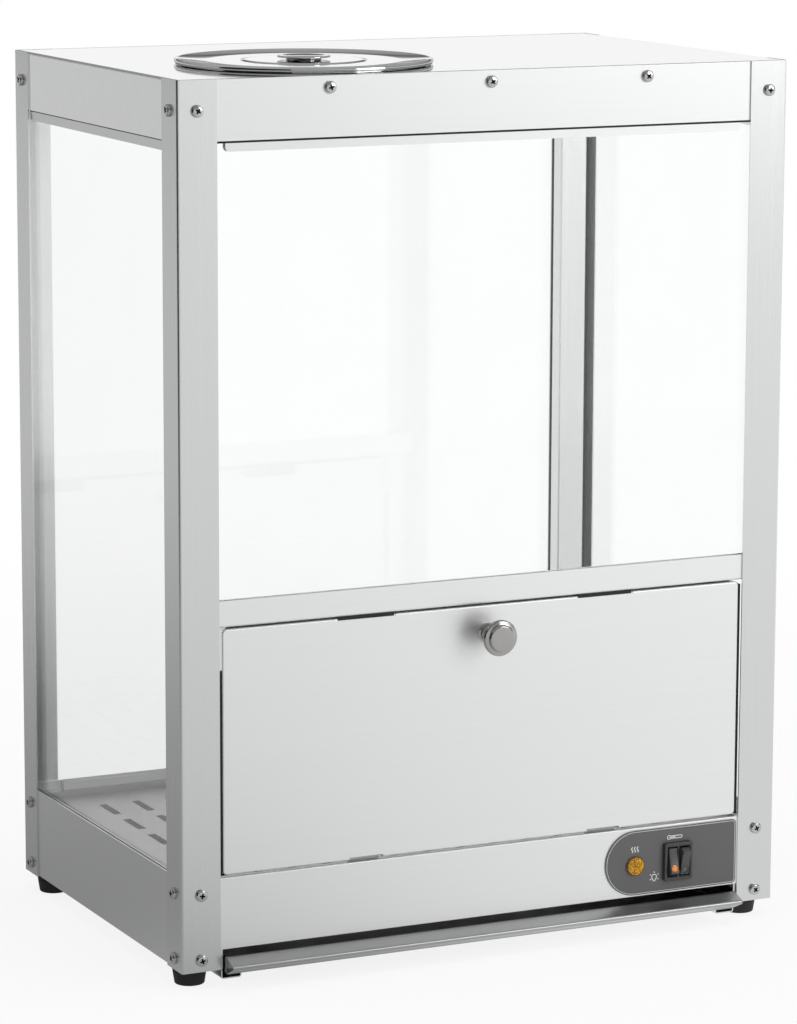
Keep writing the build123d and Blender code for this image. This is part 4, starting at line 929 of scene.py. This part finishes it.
# %% Its facets
PYRAMID, PYRAMID_HEIGHT, FACETS_OUT, FACETS_TURNED = 1.6, 0.8, 1.75, 20
rows = 2 * math.ceil(LENS_FACE / PYRAMID)
bpy.ops.object.select_all(action="DESELECT")
bpy.ops.mesh.primitive_grid_add(x_subdivisions=rows, y_subdivisions=rows, size=rows * PYRAMID * MM)
facets = bpy.context.object
facets.name = facets.data.name = "indicator_facets"
bpy.ops.object.mode_set(mode="EDIT")
bpy.ops.mesh.select_all(action="SELECT")
bpy.ops.mesh.poke(offset=PYRAMID_HEIGHT * MM)
bpy.ops.object.mode_set(mode="OBJECT")
thicken(facets, (0, 0, -PYRAMID_HEIGHT * MM))
disc_outline = [(0, -3), (LENS_FACE - 0.05, -3), (LENS_FACE - 0.05, 3), (0, 3)]
cut(facets, lathe("disc", disc_outline, Matrix(), steps=64), "INTERSECT")
settle(facets, facing(lens_place, (0, -1, 0)) @ Matrix.Translation((0, 0, FACETS_OUT * MM))
       @ Matrix.Rotation(math.radians(FACETS_TURNED), 4, "Z"))
finish_piece(facets, amber, "cabinet", "lens_amber")

# %% Rocker lenses
small_outline = [(0, 0), (SMALL_LENS, 0)] + arc(SMALL_LENS - 0.35, 0.6, 0.35, 0, 90, 4)
small_outline += [(SMALL_LENS - 0.7, 0.7), (SMALL_LENS - 1.2, 0.9), (0, 1.0)]
for node, material, slot in (("light_rocker", lit_amber, "lens_amber"),
                             ("heat_rocker", unlit_lens, "lens_grey")):
    small = lathe(node + "_lens_cap", small_outline, tipped(node) @ lens_seat, steps=48)
    finish_piece(small, material, node, slot, node + "_lens")

# %% [markdown]
# ## Marks on the plate
#
# The plate is screen printed: a thin pale line just inside its edge, and three generic marks.
# A thermometer stands over the switch, three waves of warm air over the indicator, and a lamp
# beside the switch. Each mark is a line of white ink, made as a curve with a round section and
# pressed nearly flat.

# %% Strokes of ink
INK_RISE = 0.12
BORDER_INK, WAVE_INK, LINE_INK, MARK_INK = 0.35, 0.75, 0.7, 0.65
plate_low, plate_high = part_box("control_plate")
plate_middle = middle("control_plate").z


def stroke(points, width_mm, closed=False):
    """A printed line through (x, z) points in mm from the plate's middle, lying on its face."""
    chain("stroke", points + points[:1] if closed else points)
    bpy.ops.mesh.remove_doubles(threshold=0.01 * MM)
    bpy.ops.object.mode_set(mode="OBJECT")
    bpy.ops.object.convert(target="CURVE")
    obj = bpy.context.object
    obj.data.bevel_depth, obj.data.bevel_resolution = width_mm / 2 * MM, 2
    obj.data.use_fill_caps = not closed
    bpy.ops.object.convert(target="MESH")
    obj = bpy.context.object
    flatten = Matrix.Diagonal((1, 2 * INK_RISE / width_mm, 1, 1))
    settle(obj, Matrix.Translation((0, plate_front, plate_middle)) @ flatten)
    return obj


print("ink on a plate", [round(c / MM, 1) for c in plate_high - plate_low], "mm")

# %% Border and marks
BORDER, END_RADIUS, CORNER_RADIUS = 1.0, 22.0, 2.0
half_plate = (plate_high.z - plate_low.z) / 2 / MM
left_centre = plate_low.x / MM + half_plate
right_centre = plate_high.x / MM - BORDER - CORNER_RADIUS
corner_up = half_plate - BORDER - CORNER_RADIUS
border = arc(left_centre, 0, END_RADIUS, 90, 270, 40)
border += arc(right_centre, -corner_up, CORNER_RADIUS, -90, 0, 6)
border += arc(right_centre, corner_up, CORNER_RADIUS, 0, 90, 6)
marks = [stroke(border, BORDER_INK, closed=True)]
lens_up = (lens_place.z - plate_middle) / MM
WAVE_PITCH, WAVE_SWING, WAVES_UP = 2.2, 0.5, 9.5
for i in (-1, 0, 1):
    wave_x = lens_place.x / MM + WAVE_PITCH * i
    wave = [(wave_x + WAVE_SWING * math.sin(t * 0.9), lens_up + WAVES_UP + 0.5 * t)
            for t in range(9)]
    marks.append(stroke(wave, WAVE_INK))
switch_up, over = (switch_z - plate_middle) / MM, switch_x / MM
stem_up = switch_up + 17.0
stem = arc(over - 6, stem_up, 1.4, 40, 320, 12) + arc(over + 3.5, stem_up, 0.9, -90, 90, 6)
marks.append(stroke(stem, MARK_INK, closed=True))
marks.append(stroke([(over - 6, stem_up), (over - 1, stem_up)], LINE_INK))
lamp_x, lamp_up = over - 17.5, switch_up - 10.0
bulb = arc(lamp_x, lamp_up, 1.9, -60, 240, 16)
bulb += [(lamp_x - 0.8, lamp_up - 2.8), (lamp_x + 0.8, lamp_up - 2.8)]
marks.append(stroke(bulb, MARK_INK, closed=True))
for degrees in range(-30, 211, 60):
    ray = [arc(lamp_x, lamp_up, reach, degrees, degrees, 1)[0] for reach in (2.8, 4.0)]
    marks.append(stroke(ray, MARK_INK))
printing = joined("printed_marks", marks)
white_ink = grained("white_screen_ink", ("#e6e6e6", "#f2f2f2"), 0.5, 0.8, depth=0.1)
finish_piece(printing, white_ink, "cabinet", "plate_grey")

# %% [markdown]
# ## Where it stands
#
# A pale floor and nothing else. Shadow comes from real light, while camera and transmission
# rays see the floor lifted towards white, least of all near the object, as on the sweep of
# paper in a photo studio. Polished metal has no look of its own and shows only what stands
# round it. So the floor that a glossy ray meets is an emission with painted shadow and painted
# light: darker close to the object, as if in its shadow, brighter farther off and on the side
# of the main light.

# %% Floor
bpy.ops.object.select_all(action="DESELECT")
bpy.ops.mesh.primitive_plane_add(size=24)
floor = bpy.context.object
floor.name = "studio_floor"

paper, tree, shader = new_material("studio_paper", Roughness=0.9)
shader.inputs["Base Color"].default_value = linear("#f4f4f4")
path = add_node(tree, "LightPath")
mirror = mirror_ray(tree, path)
place = add_node(tree, "TexCoord")
far = add_node(tree, "VectorMath", {0: (place, "Object")}, operation="LENGTH")
heading = add_node(tree, "VectorMath", {0: (place, "Object")}, operation="NORMALIZE")
print("studio floor, 24 m square")

# %% The floor in reflections
# Painted shadow and light: the reflected floor's emission is darker near the object and away from
# the main light.
TO_LIGHT, TO_FRONT = (0.30, 0.0, 0), (0, -0.23, 0)
SIDE_TONE, NEAR_TONE, FAR_TONE = 0.79, 0.65, 0.95
NEAR, FAR, FAR_SEEN = 0.2, 1.9, 1.4
toward_light = add_node(tree, "VectorMath", {0: (heading, "Vector"), 1: TO_LIGHT},
                        operation="DOT_PRODUCT")
side_tone = add_node(tree, "Math", {0: (toward_light, "Value"), 1: SIDE_TONE}, operation="ADD")
to_front = add_node(tree, "VectorMath", {0: (heading, "Vector"), 1: TO_FRONT},
                    operation="DOT_PRODUCT")
shaded = add_node(tree, "Math", {0: (to_front, "Value"), 1: NEAR_TONE}, operation="ADD")
reach = add_node(tree, "MapRange", {"Value": (far, "Value"), "From Min": NEAR, "From Max": FAR})
near_tone = add_node(tree, "Mix", {"Factor": (reach, "Result"), "A": (shaded, "Value"),
                                   "B": FAR_TONE}, data_type="FLOAT")
mirrored = add_node(tree, "Math", {0: (side_tone, "Value"), 1: (near_tone, "Result")},
                    operation="MULTIPLY")
print("mirrored floor from", NEAR_TONE, "near to", FAR_TONE, "far")

# %% The floor that the camera sees
strength = add_node(tree, "Mix", {"Factor": (mirror, "Value"), "A": 1.0, "B": (mirrored, "Value")},
                    data_type="FLOAT")
lifted = add_node(tree, "Emission", {"Color": (1, 1, 1, 1), "Strength": (strength, "Result")})
seen = add_node(tree, "Math", {0: (path, "Is Camera Ray"), 1: (path, "Is Transmission Ray")},
                operation="MAXIMUM")
lift = add_node(tree, "MapRange", {"Value": (far, "Value"), "From Min": NEAR,
                                   "From Max": FAR_SEEN, "To Min": 0.86, "To Max": 1.0})
lifted_seen = add_node(tree, "Math", {0: (seen, "Value"), 1: (lift, "Result")},
                       operation="MULTIPLY")
share = add_node(tree, "Math", {0: (lifted_seen, "Value"), 1: (mirror, "Value")},
                 operation="MAXIMUM")
mixed = add_node(tree, "MixShader", {0: (share, "Value"), 1: (shader, "BSDF"),
                                     2: (lifted, "Emission")})
tree.links.new(mixed.outputs["Shader"], tree.nodes["Material Output"].inputs["Surface"])
floor.data.materials.append(paper)
print("floor ready")

# %% [markdown]
# The world is white to the camera and through glass, and a softer grey as a source of light.
# In reflections it is a studio: behind the object a white backdrop that ends a little above
# the horizon, in front the dimmer room, and a dim ceiling over both.

# %% World
world = bpy.data.worlds.new("studio")
world.use_nodes = True
bpy.context.scene.world = world
tree = world.node_tree
path = add_node(tree, "LightPath")
look = add_node(tree, "TexCoord")
parts = add_node(tree, "SeparateXYZ", {"Vector": (look, "Generated")})


def elevation_ramp(stops):
    """Greys by the sine of the elevation, as (sine, linear grey) stops."""
    ramp = add_node(tree, "ValToRGB", {"Fac": (parts, "Z")})
    ramp.color_ramp.elements[1].position = stops[-1][0]
    ramp.color_ramp.elements[1].color = [stops[-1][1]] * 3 + [1]
    ramp.color_ramp.elements[0].position = stops[0][0]
    ramp.color_ramp.elements[0].color = [stops[0][1]] * 3 + [1]
    for sine, grey in stops[1:-1]:
        ramp.color_ramp.elements.new(sine).color = [grey] * 3 + [1]
    return ramp


TURNED_FROM, TURNED_TO = -0.25, 0.35
BACK_STOPS = ((0.0, 0.18), (0.034, 0.18), (0.050, 1.0), (0.095, 1.0), (0.12, 0.35), (0.18, 0.10),
              (0.28, 0.30), (0.6, 0.42))
FRONT_STOPS = ((0.0, 0.85), (0.10, 0.60), (0.28, 0.16), (0.5, 0.30), (0.8, 0.40))
behind = elevation_ramp(BACK_STOPS)
in_front = elevation_ramp(FRONT_STOPS)
turned_back = add_node(tree, "MapRange", {"Value": (parts, "Y"), "From Min": TURNED_FROM,
                                          "From Max": TURNED_TO})
studio = add_node(tree, "Mix", {"Factor": (turned_back, "Result"), "A": (in_front, "Color"),
                                "B": (behind, "Color")}, data_type="RGBA")
plain = add_node(tree, "Math", {0: (path, "Is Camera Ray"), 1: (path, "Is Transmission Ray")},
                 operation="MAXIMUM")
level = add_node(tree, "MapRange", {"Value": (plain, "Value"), "To Min": 0.45, "To Max": 1.0})
around = add_node(tree, "Mix", {"Factor": (mirror_ray(tree, path), "Value"), "A": (level, "Result"),
                                "B": (studio, "Result")}, data_type="RGBA")
tree.links.new(around.outputs["Result"], tree.nodes["Background"].inputs["Color"])
print("world with", len(tree.nodes), "nodes")

# %% [markdown]
# ## Light
#
# A large soft box overhead, one at the front right and a weaker one at the left. Those
# overhead and at the left don't show in reflections, where they would wash out the polished
# top and the tray. A photographer sets dark flags beside polished metal to draw its edges: one
# stands at the left, and only reflections show it.

# %% Lamps
AIM = Vector((0, 0, 0.3))


def soft_box(name, place, size, watts, mirrored):
    """A square area lamp turned towards the cabinet, and whether metal mirrors it."""
    bpy.ops.object.select_all(action="DESELECT")
    bpy.ops.object.light_add(type="AREA", location=place)
    lamp = bpy.context.object
    lamp.name = name
    lamp.data.size = size
    lamp.data.energy = watts
    lamp.visible_glossy = mirrored
    lamp.rotation_euler = (AIM - Vector(place)).to_track_quat("-Z", "Y").to_euler()
    return lamp


soft_box("overhead", (0.3, -0.3, 2.6), 2.2, 26, False)
soft_box("front_right", (1.7, -2.3, 1.3), 1.4, 20, True)
soft_box("left", (-2.4, -0.6, 1.2), 1.2, 8, False)
print("lamps:", len(bpy.data.lights))

# %% Dark flag
bpy.ops.object.select_all(action="DESELECT")
bpy.ops.mesh.primitive_plane_add(size=1, location=(-1.6, -0.95, 0.75), rotation=(0, math.pi / 2, 0))
flag = bpy.context.object
flag.name = "dark_flag"
flag.scale = (1.5, 2.5, 1)
flag_cloth, tree, shader = new_material("black_flag_cloth", Roughness=1.0)
shader.inputs["Base Color"].default_value = linear("#1a1a1a")
flag.data.materials.append(flag_cloth)
flag.visible_camera = flag.visible_diffuse = flag.visible_transmission = flag.visible_shadow = False
print("dark flag", [round(d, 2) for d in flag.dimensions], "m")
bpy.context.scene.view_settings.view_transform = "Standard"
